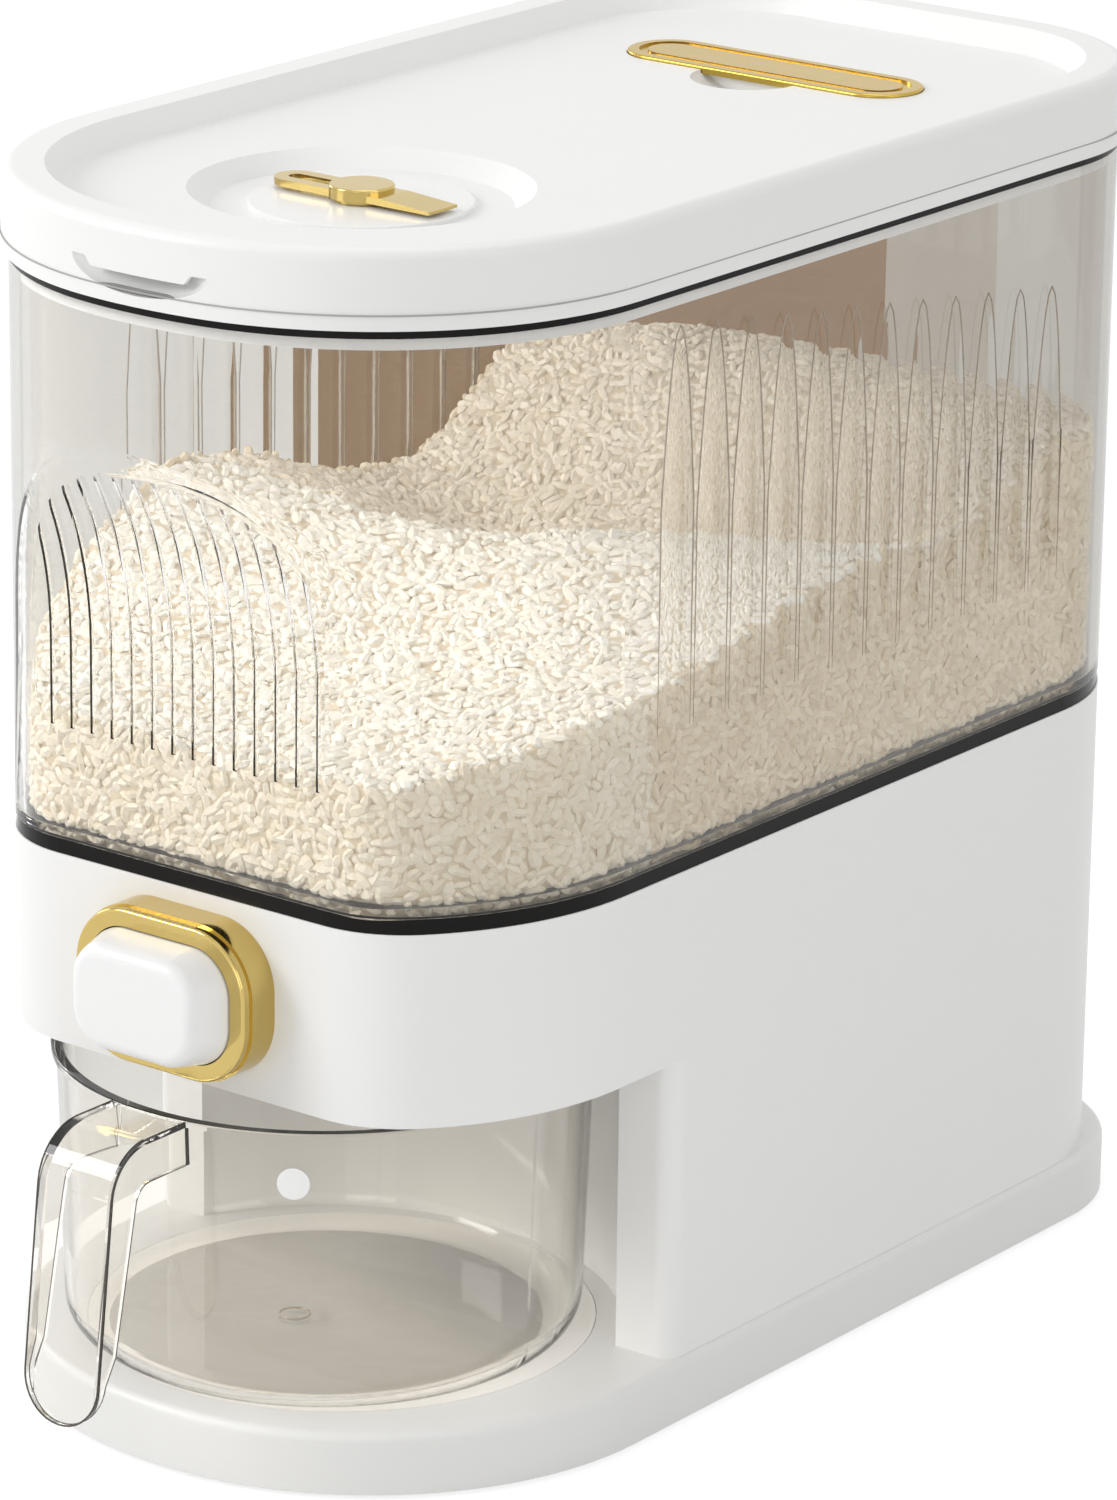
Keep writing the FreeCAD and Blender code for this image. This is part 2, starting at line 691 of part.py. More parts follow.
plinth = BASE.prism("Plinth", 0.0, S.foot_gap, S.base_height)
plinth_round = fillet("PlinthRound", plinth, S.base_round, flat_at(float(S.base_height)))
plinth_hollow = BASE.prism("PlinthHollow", -S.base_wall, S.foot_gap - UNDER, CAVITY_TOP)
ribs = []
for index in range(-4, 6):
    y = S.rib_spacing * index
    ribs.append(box("PlinthRibAcross%d" % (index + 5), -S.half_width, S.half_width,
                    y - S.rib_thickness / 2, y + S.rib_thickness / 2,
                    S.foot_gap + 4, CAVITY_TOP))
for index in range(-2, 3):
    x = S.rib_spacing * index
    ribs.append(box("PlinthRibAlong%d" % (index + 3), x - S.rib_thickness / 2,
                    x + S.rib_thickness / 2, S.front_y, S.rear_y,
                    S.foot_gap + 4, CAVITY_TOP))
plinth_ribs = common("PlinthRibs", fuse("PlinthRibGrid", *ribs), plinth_hollow)
under_pad = cylinder("UnderPad", S.pad_radius + 3, 0.0, S.pad_y,
                     CAVITY_TOP - S.pad_thickness, CAVITY_TOP)
bosses = [under_pad]
for index, (x, y) in enumerate(FOOT_PLACES):
    bosses.append(cylinder("FootBoss%d" % index, S.foot_radius + 2, x, y, S.foot_gap, CAVITY_TOP))
for index, (x, y) in enumerate(SCREW_PLACES):
    bosses.append(cylinder("BasePost%d" % index, S.screw_head + 2, x, y,
                           HEAD_BOTTOM - 2, CAVITY_TOP))
plinth_body = fuse("PlinthBody", cut("PlinthShell", plinth_round, plinth_hollow),
                   plinth_ribs, *bosses)
holes = [cylinder("PadRecess", S.pad_radius + S.fit_gap, 0.0, S.pad_y,
                  S.base_height - S.pad_thickness, S.base_height + UNDER)]
for index, (x, y) in enumerate(FOOT_PLACES):
    holes.append(cylinder("FootRecess%d" % index, S.foot_radius + S.fit_gap, x, y,
                          S.foot_gap - UNDER, S.foot_gap + S.foot_recess))
    holes.append(cylinder("FootCore%d" % index, S.foot_radius - 3, x, y,
                          S.foot_gap, CAVITY_TOP - 2))
for index, (x, y) in enumerate(SCREW_PLACES):
    holes.append(cylinder("HeadRecess%d" % index, S.screw_head + S.fit_gap, x, y,
                          HEAD_BOTTOM - 3, HEAD_TOP))
    holes.append(cylinder("BaseScrewHole%d" % index, S.screw_radius + S.thread_gap, x, y,
                          HEAD_TOP - 1, S.base_height + UNDER))
node("base_plate", cut("BasePlate", plinth_body, fuse("PlinthHoles", *holes)))

feet = []
for index, (x, y) in enumerate(FOOT_PLACES):
    pad = cylinder("FootPad%d" % index, S.foot_radius, x, y, 0.0, S.foot_gap + S.foot_recess)
    feet.append(fillet("FootPadRound%d" % index, pad, 0.6, flat_at(0.0)))
node("foot_pads", group("FootPads", *feet))

node("cup_pad", cylinder("CupPad", S.pad_radius, 0.0, S.pad_y,
                         S.base_height - S.pad_thickness, S.base_height))


def screw(name, x, y, seat, length, up):
    """A hexagon-socket screw; its head lies below or above the seat."""
    if up:
        shank = cylinder(name + "Shank", S.screw_radius, x, y, seat - 0.5, seat + length)
        head = cylinder(name + "Head", S.screw_head, x, y, seat - S.screw_head_height, seat)
        low, high = seat - S.screw_head_height - UNDER, seat - S.screw_head_height / 2
    else:
        shank = cylinder(name + "Shank", S.screw_radius, x, y, seat - length, seat + 0.5)
        head = cylinder(name + "Head", S.screw_head, x, y, seat, seat + S.screw_head_height)
        low, high = seat + S.screw_head_height / 2, seat + S.screw_head_height + UNDER
    socket = add("Part::Prism", name + "Socket", Polygon=6,
                 Circumradius=S.screw_head / 2, Height=high - low)
    place(socket, x, y, low)
    return cut(name, fuse(name + "Blank", shank, head), socket)


node("base_screws", group("BaseScrews", *[
    screw("BaseScrew%d" % index, x, y, HEAD_TOP, S.screw_length, True)
    for index, (x, y) in enumerate(SCREW_PLACES)
]))

# ---------------------------------------------------------------------------
# Housing with the cup bay
# ---------------------------------------------------------------------------
BAY_SIDE = S.half_width + 10
BAY_FRONT = S.front_y - 10
CEILING_TOP = S.bay_height + S.ceiling
CHUTE_X = S.outlet_half + 1 + S.chute_wall
CHUTE_FRONT = S.outlet_front_y - 1 - S.chute_wall
CHUTE_REAR = OUTLET_REAR_Y + 1 + S.chute_wall
SLEEVE_X = S.bezel_half_x - S.bezel_step_width - S.bezel_width + 1.4
SLEEVE_Z = S.bezel_half_z - S.bezel_step_width - S.bezel_width + 1.4
SLEEVE_CORNER = S.bezel_corner - S.bezel_step_width - S.bezel_width + 1.4

housing_block = D.prism("HousingBlock", 0.0, S.base_height, S.housing_top, flat=True)
bay = fuse("Bay",
           box("BayFront", -BAY_SIDE, BAY_SIDE, BAY_FRONT, S.cheek_y,
               S.base_height - UNDER, S.bay_height),
           cylinder("BayRound", S.bay_radius, 0.0, S.cup_y,
                    S.base_height - UNDER, S.bay_height))
housing_bay = cut("HousingWithBay", housing_block, bay)
housing_cheeks = fillet(
    "HousingCheeks", housing_bay, S.cheek_round,
    lambda edge, middle: abs(abs(middle.x) - float(S.half_width)) < 0.01
    and abs(middle.y - float(S.cheek_y)) < 0.01 and edge.BoundBox.ZLength > 50)
bay_shell = fuse("BayShell",
                 box("BayShellFront", -BAY_SIDE, BAY_SIDE, BAY_FRONT,
                     S.cheek_y + S.housing_wall, S.base_height - 2 * UNDER, CEILING_TOP),
                 cylinder("BayShellRound", S.bay_radius + S.housing_wall, 0.0, S.cup_y,
                          S.base_height - 2 * UNDER, CEILING_TOP))
housing_hollow = cut("HousingHollow",
                     D.prism("HousingInside", -S.housing_wall, S.base_height - UNDER,
                             S.housing_top + UNDER, flat=True),
                     bay_shell)
ledge = cut("Ledge",
            D.prism("LedgeOutside", -S.housing_wall + 0.5, LEDGE_TOP - S.ledge_thickness,
                    LEDGE_TOP, flat=True),
            D.prism("LedgeInside", -S.housing_wall - S.ledge_width,
                    LEDGE_TOP - S.ledge_thickness - UNDER, LEDGE_TOP + UNDER, flat=True))
housing_bosses = [
    cylinder("HousingBoss%d" % index, S.boss_radius, x, y,
             S.base_height, S.base_height + S.boss_height)
    for index, (x, y) in enumerate(SCREW_PLACES)
]
housing_body = fuse("HousingBody", cut("HousingSkin", housing_cheeks, housing_hollow),
                    ledge, *housing_bosses)
housing_holes = [
    cylinder("HousingScrewHole%d" % index, S.screw_radius + S.thread_gap, x, y,
             S.base_height - UNDER, S.base_height + S.boss_height + UNDER)
    for index, (x, y) in enumerate(SCREW_PLACES)
]
housing_holes.append(oval_prism("ButtonOpening", SLEEVE_X + S.fit_gap, SLEEVE_Z + S.fit_gap,
                                SLEEVE_CORNER + S.fit_gap, S.flat_y - UNDER,
                                S.flat_y + S.housing_wall + UNDER))
housing_holes.append(box("SpoutOpening", -CHUTE_X - S.fit_gap, CHUTE_X + S.fit_gap,
                         CHUTE_FRONT - S.fit_gap, CHUTE_REAR + S.fit_gap,
                         S.bay_height - UNDER, CEILING_TOP + UNDER))
node("housing_shell", cut("HousingShell", housing_body, fuse("HousingHoles", *housing_holes)))

# Gold surround of the button
LIP_X = S.bezel_half_x - S.bezel_step_width
LIP_Z = S.bezel_half_z - S.bezel_step_width
LIP_CORNER = S.bezel_corner - S.bezel_step_width
BEZEL_FRONT = S.flat_y - S.bezel_depth
bezel_lip = oval_prism("BezelLip", LIP_X, LIP_Z, LIP_CORNER, BEZEL_FRONT,
                       BEZEL_FRONT + S.bezel_step + 0.5)
bezel_lip_round = fillet("BezelLipRound", bezel_lip, 0.8,
                         lambda edge, middle: edge.BoundBox.YLength < 1e-4
                         and abs(middle.y - float(BEZEL_FRONT)) < 1e-3)
bezel_block = fuse("BezelBlock",
                   oval_prism("BezelRing", S.bezel_half_x, S.bezel_half_z, S.bezel_corner,
                              BEZEL_FRONT + S.bezel_step, S.flat_y),
                   bezel_lip_round,
                   oval_prism("BezelSleeve", SLEEVE_X, SLEEVE_Z, SLEEVE_CORNER,
                              S.flat_y - 0.5, S.flat_y + S.housing_wall + 1))
bezel_hole = oval_prism("BezelHole", LIP_X - S.bezel_width, LIP_Z - S.bezel_width,
                        LIP_CORNER - S.bezel_width, BEZEL_FRONT - UNDER,
                        S.flat_y + S.housing_wall + 2)
node("button_bezel", cut("ButtonBezel", bezel_block, bezel_hole))

# ---------------------------------------------------------------------------
# Hopper, gate guide and gate
# ---------------------------------------------------------------------------
RAIL_OUT = S.neck_flange_half
RAIL_IN = S.gate_half + S.gate_gap
GUIDE_FRONT = S.flat_y + 7
GUIDE_REAR = S.gate_rear_y + S.travel + 3
TAB_FRONT = S.upstand_y + S.upstand_thickness + 23.6
SHELL_OUT = -S.housing_wall - S.ledge_width - 0.4
SHELL_IN = SHELL_OUT - S.hopper_wall

guide_parts = [
    box("GuideFloor", -RAIL_OUT, RAIL_OUT, GUIDE_FRONT, GUIDE_REAR, GUIDE_BOTTOM, GUIDE_TOP),
    box("GuideRailLeft", -RAIL_OUT, -RAIL_IN, GUIDE_FRONT, GUIDE_REAR,
        GUIDE_BOTTOM, S.neck_bottom),
    box("GuideRailRight", RAIL_IN, RAIL_OUT, GUIDE_FRONT, GUIDE_REAR,
        GUIDE_BOTTOM, S.neck_bottom),
    box("Chute", -CHUTE_X, CHUTE_X, CHUTE_FRONT, CHUTE_REAR, S.bay_height, GUIDE_TOP),
    box("SpringTab", -5.0, 5.0, TAB_FRONT, TAB_FRONT + 2.5, GUIDE_BOTTOM, S.spring_z + 5),
]
guide_cuts = [
    box("ChuteHole", -S.outlet_half - 1, S.outlet_half + 1, S.outlet_front_y - 1,
        OUTLET_REAR_Y + 1, S.bay_height - UNDER, GUIDE_TOP + UNDER),
]
GUIDE_SCREWS = [(sx * (RAIL_OUT - 5), OUTLET_MIDDLE_Y + sy * S.guide_screw_y)
                for sx in (-1, 1) for sy in (-1, 1)]
for index, (x, y) in enumerate(GUIDE_SCREWS):
    guide_cuts.append(cylinder("GuideScrewHole%d" % index, S.screw_radius + S.thread_gap, x, y,
                               GUIDE_BOTTOM - UNDER, S.neck_bottom + UNDER))
node("gate_guide", cut("GateGuide", fuse("GuideBlock", *guide_parts),
                       fuse("GuideCuts", *guide_cuts)))
node("guide_screws", group("GuideScrews", *[
    screw("GuideScrew%d" % index, x, y, S.neck_bottom + S.neck_flange,
          S.neck_flange + 5, False)
    for index, (x, y) in enumerate(GUIDE_SCREWS)
]))

REACH_X = S.half_width + SHELL_IN
REACH_FRONT = S.flat_y - SHELL_IN
REACH_REAR = S.rear_y + SHELL_IN
RISE = S.housing_top - S.neck_top


def level_box(name, z, ratio):
    """The rectangle of the sloping floor at a height, for a loft."""
    x = S.outlet_half + (REACH_X - S.outlet_half) * ratio
    y0 = S.outlet_front_y + (REACH_FRONT - S.outlet_front_y) * ratio
    y1 = OUTLET_REAR_Y + (REACH_REAR - OUTLET_REAR_Y) * ratio
    return outline(name, [(-x, y0), (x, y0), (x, y1), (-x, y1)], None, (0.0, 0.0, z))


SKIN_DROP = 3.4
STEEP = (RISE + UNDER) / RISE
hopper_hollow = common(
    "HopperHollow",
    loft("HopperSlopes", level_box("SlopeLow", S.neck_top, 0.0),
         level_box("SlopeHigh", S.housing_top + UNDER, STEEP)),
    D.prism("HopperInside", SHELL_IN, S.neck_top - 5, S.housing_top + UNDER, flat=True))
hopper_skin = common(
    "HopperSkin",
    loft("HopperUnder", level_box("UnderLow", S.neck_top - SKIN_DROP, 0.0),
         level_box("UnderHigh", S.housing_top + UNDER - SKIN_DROP + 3, STEEP + 3 / RISE)),
    D.prism("HopperOutside", SHELL_OUT, S.neck_top - 5, S.housing_top - 1, flat=True))
hopper_flange = D.prism("HopperFlange", -S.housing_wall - 0.4, LEDGE_TOP, S.housing_top,
                        flat=True)
neck_block = box("NeckBlock", -S.outlet_half - 3, S.outlet_half + 3,
                 S.outlet_front_y - 3, OUTLET_REAR_Y + 3, S.neck_bottom, S.neck_top + 2.5)
neck_plate = box("NeckPlate", -S.neck_flange_half, S.neck_flange_half,
                 OUTLET_MIDDLE_Y - S.neck_flange_reach, OUTLET_MIDDLE_Y + S.neck_flange_reach,
                 S.neck_bottom, S.neck_bottom + S.neck_flange)
hopper_cuts = [
    hopper_hollow,
    box("Outlet", -S.outlet_half, S.outlet_half, S.outlet_front_y, OUTLET_REAR_Y,
        S.neck_bottom - UNDER, S.neck_top + 0.5),
]
for index, (x, y) in enumerate(GUIDE_SCREWS):
    hopper_cuts.append(cylinder("NeckScrewHole%d" % index, S.screw_radius + S.fit_gap, x, y,
                                S.neck_bottom - UNDER, S.neck_bottom + S.neck_flange + UNDER))
node("hopper_funnel", cut("HopperFunnel",
                          fuse("HopperBlock", hopper_skin, hopper_flange, neck_block, neck_plate),
                          fuse("HopperCuts", *hopper_cuts)))

GATE_TOP = GATE_BOTTOM + S.gate_thickness
POST_Z = S.spring_z + S.spring_radius + S.spring_wire + S.screw_head + 0.4
gate_block = fuse("GateBlock",
                  box("GateBlade", -S.gate_half, S.gate_half, S.upstand_y, S.gate_rear_y,
                      GATE_BOTTOM, GATE_TOP),
                  box("GateUpstand", -S.upstand_half, S.upstand_half, S.upstand_y,
                      S.upstand_y + S.upstand_thickness, GATE_BOTTOM, POST_Z + 6))
gate_cuts = fuse("GateCuts",
                 box("GateWindow", -S.outlet_half, S.outlet_half,
                     S.outlet_front_y - S.travel, OUTLET_REAR_Y - S.travel,
                     GATE_BOTTOM - UNDER, GATE_TOP + UNDER),
                 box("GateSlot", -6.0, 6.0, TAB_FRONT - S.travel - 0.6, TAB_FRONT + 3.1,
                     GATE_BOTTOM - UNDER, GATE_TOP + UNDER),
                 rod("GateScrewHole", S.screw_radius + S.fit_gap, 0.0, POST_Z,
                     S.upstand_y - UNDER, S.upstand_y + S.upstand_thickness + UNDER))
node("gate_plate", cut("GatePlate", gate_block, gate_cuts))

# Push button
CAP_X = LIP_X - S.bezel_width - S.button_gap
CAP_Z = LIP_Z - S.bezel_width - S.button_gap
CAP_CORNER = LIP_CORNER - S.bezel_width - S.button_gap
FACE_X = CAP_X - S.button_draft
FACE_Z = CAP_Z - S.button_draft / 2
FACE_CORNER = CAP_CORNER - S.button_draft / 2
cap_skirt = oval_prism("CapSkirt", CAP_X, CAP_Z, CAP_CORNER, S.button_rear_y - S.travel,
                       S.button_rear_y)
cap_nose = loft("CapNose",
                facing_oval("CapRoot", CAP_X, CAP_Z, CAP_CORNER,
                            S.button_rear_y - S.travel),
                facing_oval("CapFace", FACE_X, FACE_Z, FACE_CORNER, S.button_front_y))
cap_nose_round = fillet("CapNoseRound", cap_nose, S.button_round,
                        lambda edge, middle: edge.BoundBox.YLength < 1e-4
                        and abs(middle.y - float(S.button_front_y)) < 1e-3)
cap_solid = fuse("CapSolid", cap_skirt, cap_nose_round)
cap_hollow = loft("CapHollow",
                  facing_oval("CapHollowRear", CAP_X - S.button_wall, CAP_Z - S.button_wall,
                              CAP_CORNER - S.button_wall, S.button_rear_y + UNDER),
                  facing_oval("CapHollowFront", FACE_X - S.button_wall - 1.5,
                              FACE_Z - S.button_wall - 1.5, FACE_CORNER - S.button_wall - 1.5,
                              S.button_front_y + S.button_wall))
cap_post = rod("CapPost", S.post_radius, 0.0, POST_Z, S.button_front_y + S.button_wall - 0.5,
               S.upstand_y)
cap_bore = rod("CapBore", S.screw_radius + S.thread_gap, 0.0, POST_Z,
               S.upstand_y - 12, S.upstand_y + UNDER)
node("button_cap", cut("ButtonCap",
                       fuse("CapWithPost", cut("CapShell", cap_solid, cap_hollow), cap_post),
                       cap_bore))

SCREW_SEAT = S.upstand_y + S.upstand_thickness
cap_screw_blank = fuse("CapScrewBlank",
                       rod("CapScrewShank", S.screw_radius, 0.0, POST_Z,
                           SCREW_SEAT - 12, SCREW_SEAT + 0.5),
                       rod("CapScrewHead", S.screw_head, 0.0, POST_Z,
                           SCREW_SEAT, SCREW_SEAT + S.screw_head_height))
cap_socket = add("Part::Prism", "CapScrewSocket", Polygon=6,
                 Circumradius=S.screw_head / 2, Height=S.screw_head_height)
place(cap_socket, 0.0, SCREW_SEAT + S.screw_head_height / 2, POST_Z,
      Rotation(Vector(1, 0, 0), -90))
node("cap_screw", cut("CapScrew", cap_screw_blank, cap_socket))

# Return spring, between the guide's tab and the gate's upstand
spring_length = TAB_FRONT - SCREW_SEAT - 2 * S.spring_wire
spring_path = add("Part::Helix", "SpringPath", Pitch=spring_length / S.spring_turns,
                  Height=spring_length, Radius=S.spring_radius)
wire_ring = add("Part::Circle", "SpringWire", Radius=S.spring_wire)
place(wire_ring, S.spring_radius, 0.0, 0.0, Rotation(Vector(1, 0, 0), 90))
spring = doc.addObject("Part::Sweep", "ReturnSpring")
spring.Sections = [wire_ring]
spring.Spine = (spring_path, [])
spring.Solid = True
spring.Frenet = True
place(spring, 0.0, SCREW_SEAT + S.spring_wire, S.spring_z, Rotation(Vector(1, 0, 0), -90))
node("return_spring", spring)

# ---------------------------------------------------------------------------
# Bin, gasket and frame
# ---------------------------------------------------------------------------
node("bin_gasket", cut("BinGasket",
                       D.prism("GasketOutside", -S.gasket_inset, S.housing_top, GASKET_TOP,
                               flat=True),
                       D.prism("GasketInside", -S.housing_wall - 0.2, S.housing_top - UNDER,
                               GASKET_TOP + UNDER, flat=True)))


def scoop_tool(name, shrink, low, high):
    """What is cut away from the bin's front: a flat, then a hollow curve."""
    front = S.flat_y - S.scoop_radius - shrink
    flat = box(name + "Flat", -BAY_SIDE, BAY_SIDE, front - 60, S.flat_y + shrink,
               low, S.scoop_start)
    curve = bar(name + "Curve", S.scoop_radius + shrink, -BAY_SIDE, BAY_SIDE,
                S.flat_y - S.scoop_radius, S.scoop_start)
    above = box(name + "Above", -BAY_SIDE - 1, BAY_SIDE + 1, front - 60,
                S.flat_y - S.scoop_radius, S.scoop_start, high)
    return fuse(name, flat, curve, above)


def bin_solid(name, shrink, low, high, foot, middle, top):
    """The bin's outer or inner form, its front edges rounded less and less upwards."""
    block = D.prism(name + "Block", -shrink, low, high)
    carved = cut(name + "Carved", block, scoop_tool(name + "Scoop", shrink, low - 5, high + 5))
    doc.recompute()
    rounds = []
    for number, edge in enumerate(carved.Shape.Edges, start=1):
        reach = edge.BoundBox
        if reach.ZLength < 1 or reach.YMax > float(S.cheek_y) or reach.ZMax > float(high) - 9:
            continue
        upper_end = reach.ZMax > float(S.scoop_start) + 1
        above = float(top) if upper_end else float(middle)
        below = float(foot)
        if upper_end:
            below = float(middle) if reach.ZMin < float(S.scoop_start) + 1 else float(top)
        rises = edge.Vertexes[-1].Z > edge.Vertexes[0].Z
        if reach.ZMin > float(S.scoop_start) + 1:
            below = above
        rounds.append((number, below, above) if rises else (number, above, below))
    thing = doc.addObject("Part::Fillet", name)
    thing.Base = carved
    thing.Edges = rounds
    return thing


bin_outside = bin_solid("BinOutside", Size(0, "0"), GASKET_TOP, S.bin_top,
                        S.edge_round_low, S.edge_round_middle, S.edge_round_top)
bin_inside = bin_solid("BinInside", S.bin_wall, GASKET_TOP - UNDER, S.bin_top + UNDER,
                       S.edge_round_low - S.bin_wall, S.edge_round_middle - S.bin_wall,
                       S.edge_round_top - S.bin_wall)
skirt = cut("Skirt",
            D.prism("SkirtOutside", -S.housing_wall - 0.4, S.housing_top,
                    GASKET_TOP + S.sill_height, flat=True),
            D.prism("SkirtInside", -S.housing_wall - 0.4 - S.skirt_wall,
                    S.housing_top - UNDER, GASKET_TOP + S.sill_height + UNDER, flat=True))
sill = cut("Sill",
           D.prism("SillOutside", -1.0, GASKET_TOP, GASKET_TOP + S.sill_height, flat=True),
           D.prism("SillInside", -S.housing_wall - 0.4 - S.skirt_wall, GASKET_TOP - UNDER,
                   GASKET_TOP + S.sill_height + UNDER, flat=True))

# Upright grooves that follow the scoop
groove_field = common(
    "GrooveField",
    common("GrooveReach",
           D.prism("GrooveLimit", -S.groove_head / 2, S.groove_foot, S.bin_top),
           scoop_tool("GrooveDepth", S.groove_depth, S.groove_foot, S.bin_top)),
    box("GrooveSpan", -S.half_width, S.half_width, S.front_y, S.flat_y + 60,
        S.groove_foot, S.bin_top))
combs = []
for index in range(int(S.groove_count)):
    x = S.groove_shift + S.groove_pitch * (index - (float(S.groove_count) - 1) / 2)
    combs.append(box("GrooveComb%02d" % (index + 1), x - S.groove_width / 2,
                     x + S.groove_width / 2, S.front_y - 5, S.flat_y + 60,
                     S.groove_foot, S.bin_top))
grooves = common("Grooves", groove_field, fuse("GrooveCombs", *combs))


# Shallow flutes in both side walls, pointed at the top and fading at the foot.
# A circle of this radius cuts the wall to the flute's width at its full depth.
FLUTE_RADIUS = (S.flute_width * S.flute_width / 4 + S.flute_depth * S.flute_depth) / (
    S.flute_depth * 2)


def flute(name, side, y, tip):
    """An upright round bar beside the wall, drawn in at both ends so that its cut fades out."""
    axis = side * (S.half_width - S.flute_depth + FLUTE_RADIUS)
    thin = FLUTE_RADIUS - S.flute_depth - 0.05
    full_low = S.flute_foot + S.flute_fade
    full_high = tip - S.flute_point
    pieces = [cone(name + "Foot", thin, FLUTE_RADIUS, axis, y, S.flute_foot, full_low),
              cylinder(name + "Bar", FLUTE_RADIUS, axis, y, full_low, full_high),
              cone(name + "Point", FLUTE_RADIUS, thin, axis, y, full_high, tip)]
    if side < 0:
        for piece in pieces:
            piece.Placement.Rotation = Rotation(Vector(0, 0, 1), 180)
    return fuse(name, *pieces)


# One cut at a time, because neighbouring flutes overlap outside the wall
fluted = cut("BinWall", bin_outside, bin_inside)
for index in range(int(S.flute_count)):
    y = S.flute_first_y + S.flute_pitch * index
    tip = S.flute_tip - S.flute_drop * index
    for hand, side in (("Right", 1), ("Left", -1)):
        name = "Flute%s%02d" % (hand, index + 1)
        fluted = cut(name + "Cut", fluted, flute(name, side, y, tip))
node("bin_shell", cut("BinShell", fuse("BinBody", fluted, skirt, sill), grooves))

node("frame_seal", cut("FrameSeal",
                       D.prism("SealOutside", 0.0, S.bin_top, FRAME_BOTTOM),
                       D.prism("SealInside", -S.bin_wall, S.bin_top - UNDER,
                               FRAME_BOTTOM + UNDER)))

# White frame that carries the lid and the hinge
frame_ring = cut("FrameRing",
                 D.prism("FrameOutside", S.lid_overlap, FRAME_BOTTOM, SEAM),
                 D.prism("FrameInside", -S.frame_inset, FRAME_BOTTOM - UNDER, SEAM + UNDER))
frame_lip = cut("FrameLip",
                D.prism("FrameLipOutside", -S.bin_wall - 0.2, S.bin_top - 5, FRAME_BOTTOM + 1),
                D.prism("FrameLipInside", -S.bin_wall - 2.6, S.bin_top - 6, FRAME_BOTTOM + 2))
frame_notch = add("Part::Ellipsoid", "FrameNotch", Radius1=S.notch_half_z,
                  Radius2=S.notch_half_x, Radius3=S.notch_depth)
place(frame_notch, 0.0, S.front_y - S.lid_overlap, SEAM)
hinge_trough = bar("HingeTrough", S.hinge_recess, -S.recess_half, S.recess_half, HINGE_Y, SEAM)
knuckle = fuse("FrameKnuckle",
               bar("FrameKnuckleRound", S.knuckle_radius, -S.middle_knuckle, S.middle_knuckle,
                   HINGE_Y, SEAM),
               box("FrameKnuckleWeb", -S.middle_knuckle, S.middle_knuckle,
                   HINGE_Y - S.knuckle_radius, HINGE_Y + 0.8, SEAM - S.hinge_recess - 1,
                   SEAM))
PIN_END = S.middle_knuckle + S.knuckle_gap + S.outer_knuckle
frame_bore = bar("FrameBore", S.pin_radius + S.running_gap, -S.middle_knuckle - UNDER,
                 S.middle_knuckle + UNDER, HINGE_Y, SEAM)
frame_cut = cut("FrameCarved", fuse("FrameBlank", frame_ring, frame_lip),
                fuse("FrameRecesses", frame_notch, hinge_trough))
node("lid_frame", cut("LidFrame", fuse("FrameWithKnuckle", frame_cut, knuckle), frame_bore))
node("hinge_pin", bar("HingePin", S.pin_radius, -PIN_END, PIN_END, HINGE_Y, SEAM))

# ---------------------------------------------------------------------------
# Lid
# ---------------------------------------------------------------------------
def tapered(name, low_grow, low, high_grow, high):
    """A D that grows evenly from one height to another."""
    return loft(name, D.sketch(name + "Low", low_grow, low),
                D.sketch(name + "High", high_grow, high))


TRAY_RATIO = (S.tray_depth + UNDER) / S.tray_depth
TRAY_IN = S.lid_overlap - S.rim_width - S.tray_slope
lid_block = D.prism("LidBlock", S.lid_overlap, SEAM, LID_TOP)
lid_round = fillet("LidRound", lid_block, S.lid_round, flat_at(float(LID_TOP)))
tray = tapered("Tray", TRAY_IN, TRAY, TRAY_IN + S.tray_slope * TRAY_RATIO, LID_TOP + UNDER)
SKIN = S.lid_wall + 0.3
UNDER_RATIO = (S.tray_depth + UNDER) / S.tray_depth
tray_skin = tapered("TraySkin", TRAY_IN + SKIN - S.tray_slope * (UNDER_RATIO - 1),
                    LID_FLOOR - UNDER, TRAY_IN + SKIN + S.tray_slope, LID_FLOOR + S.tray_depth)
rim_hollow = cut("RimHollow",
                 D.prism("RimHollowOutside", S.lid_overlap - S.lid_wall, SEAM - UNDER,
                         LID_TOP - S.lid_wall),
                 tray_skin)
under_floor = D.prism("UnderFloor", S.lid_overlap - S.lid_wall - 2, SEAM - 2 * UNDER, LID_FLOOR)
plug = cut("Plug",
           D.prism("PlugOutside", -S.plug_inset, PLUG_BOTTOM, TRAY - 0.2),
           D.prism("PlugInside", -S.plug_inset - S.plug_wall, PLUG_BOTTOM - UNDER,
                   LID_FLOOR + 0.5))
lip = front_prism("LidLip",
                  [(-S.lip_half, SEAM - S.lip_drop), (S.lip_half, SEAM - S.lip_drop),
                   (S.lip_half + 3, SEAM + 1), (-S.lip_half - 3, SEAM + 1)],
                  S.front_y - S.lid_overlap, S.front_y - S.lid_overlap + S.lid_wall)
lip_trim = common("LidLipCurved", lip, D.prism("LipLimit", S.lid_overlap, SEAM - 5, SEAM + 2))

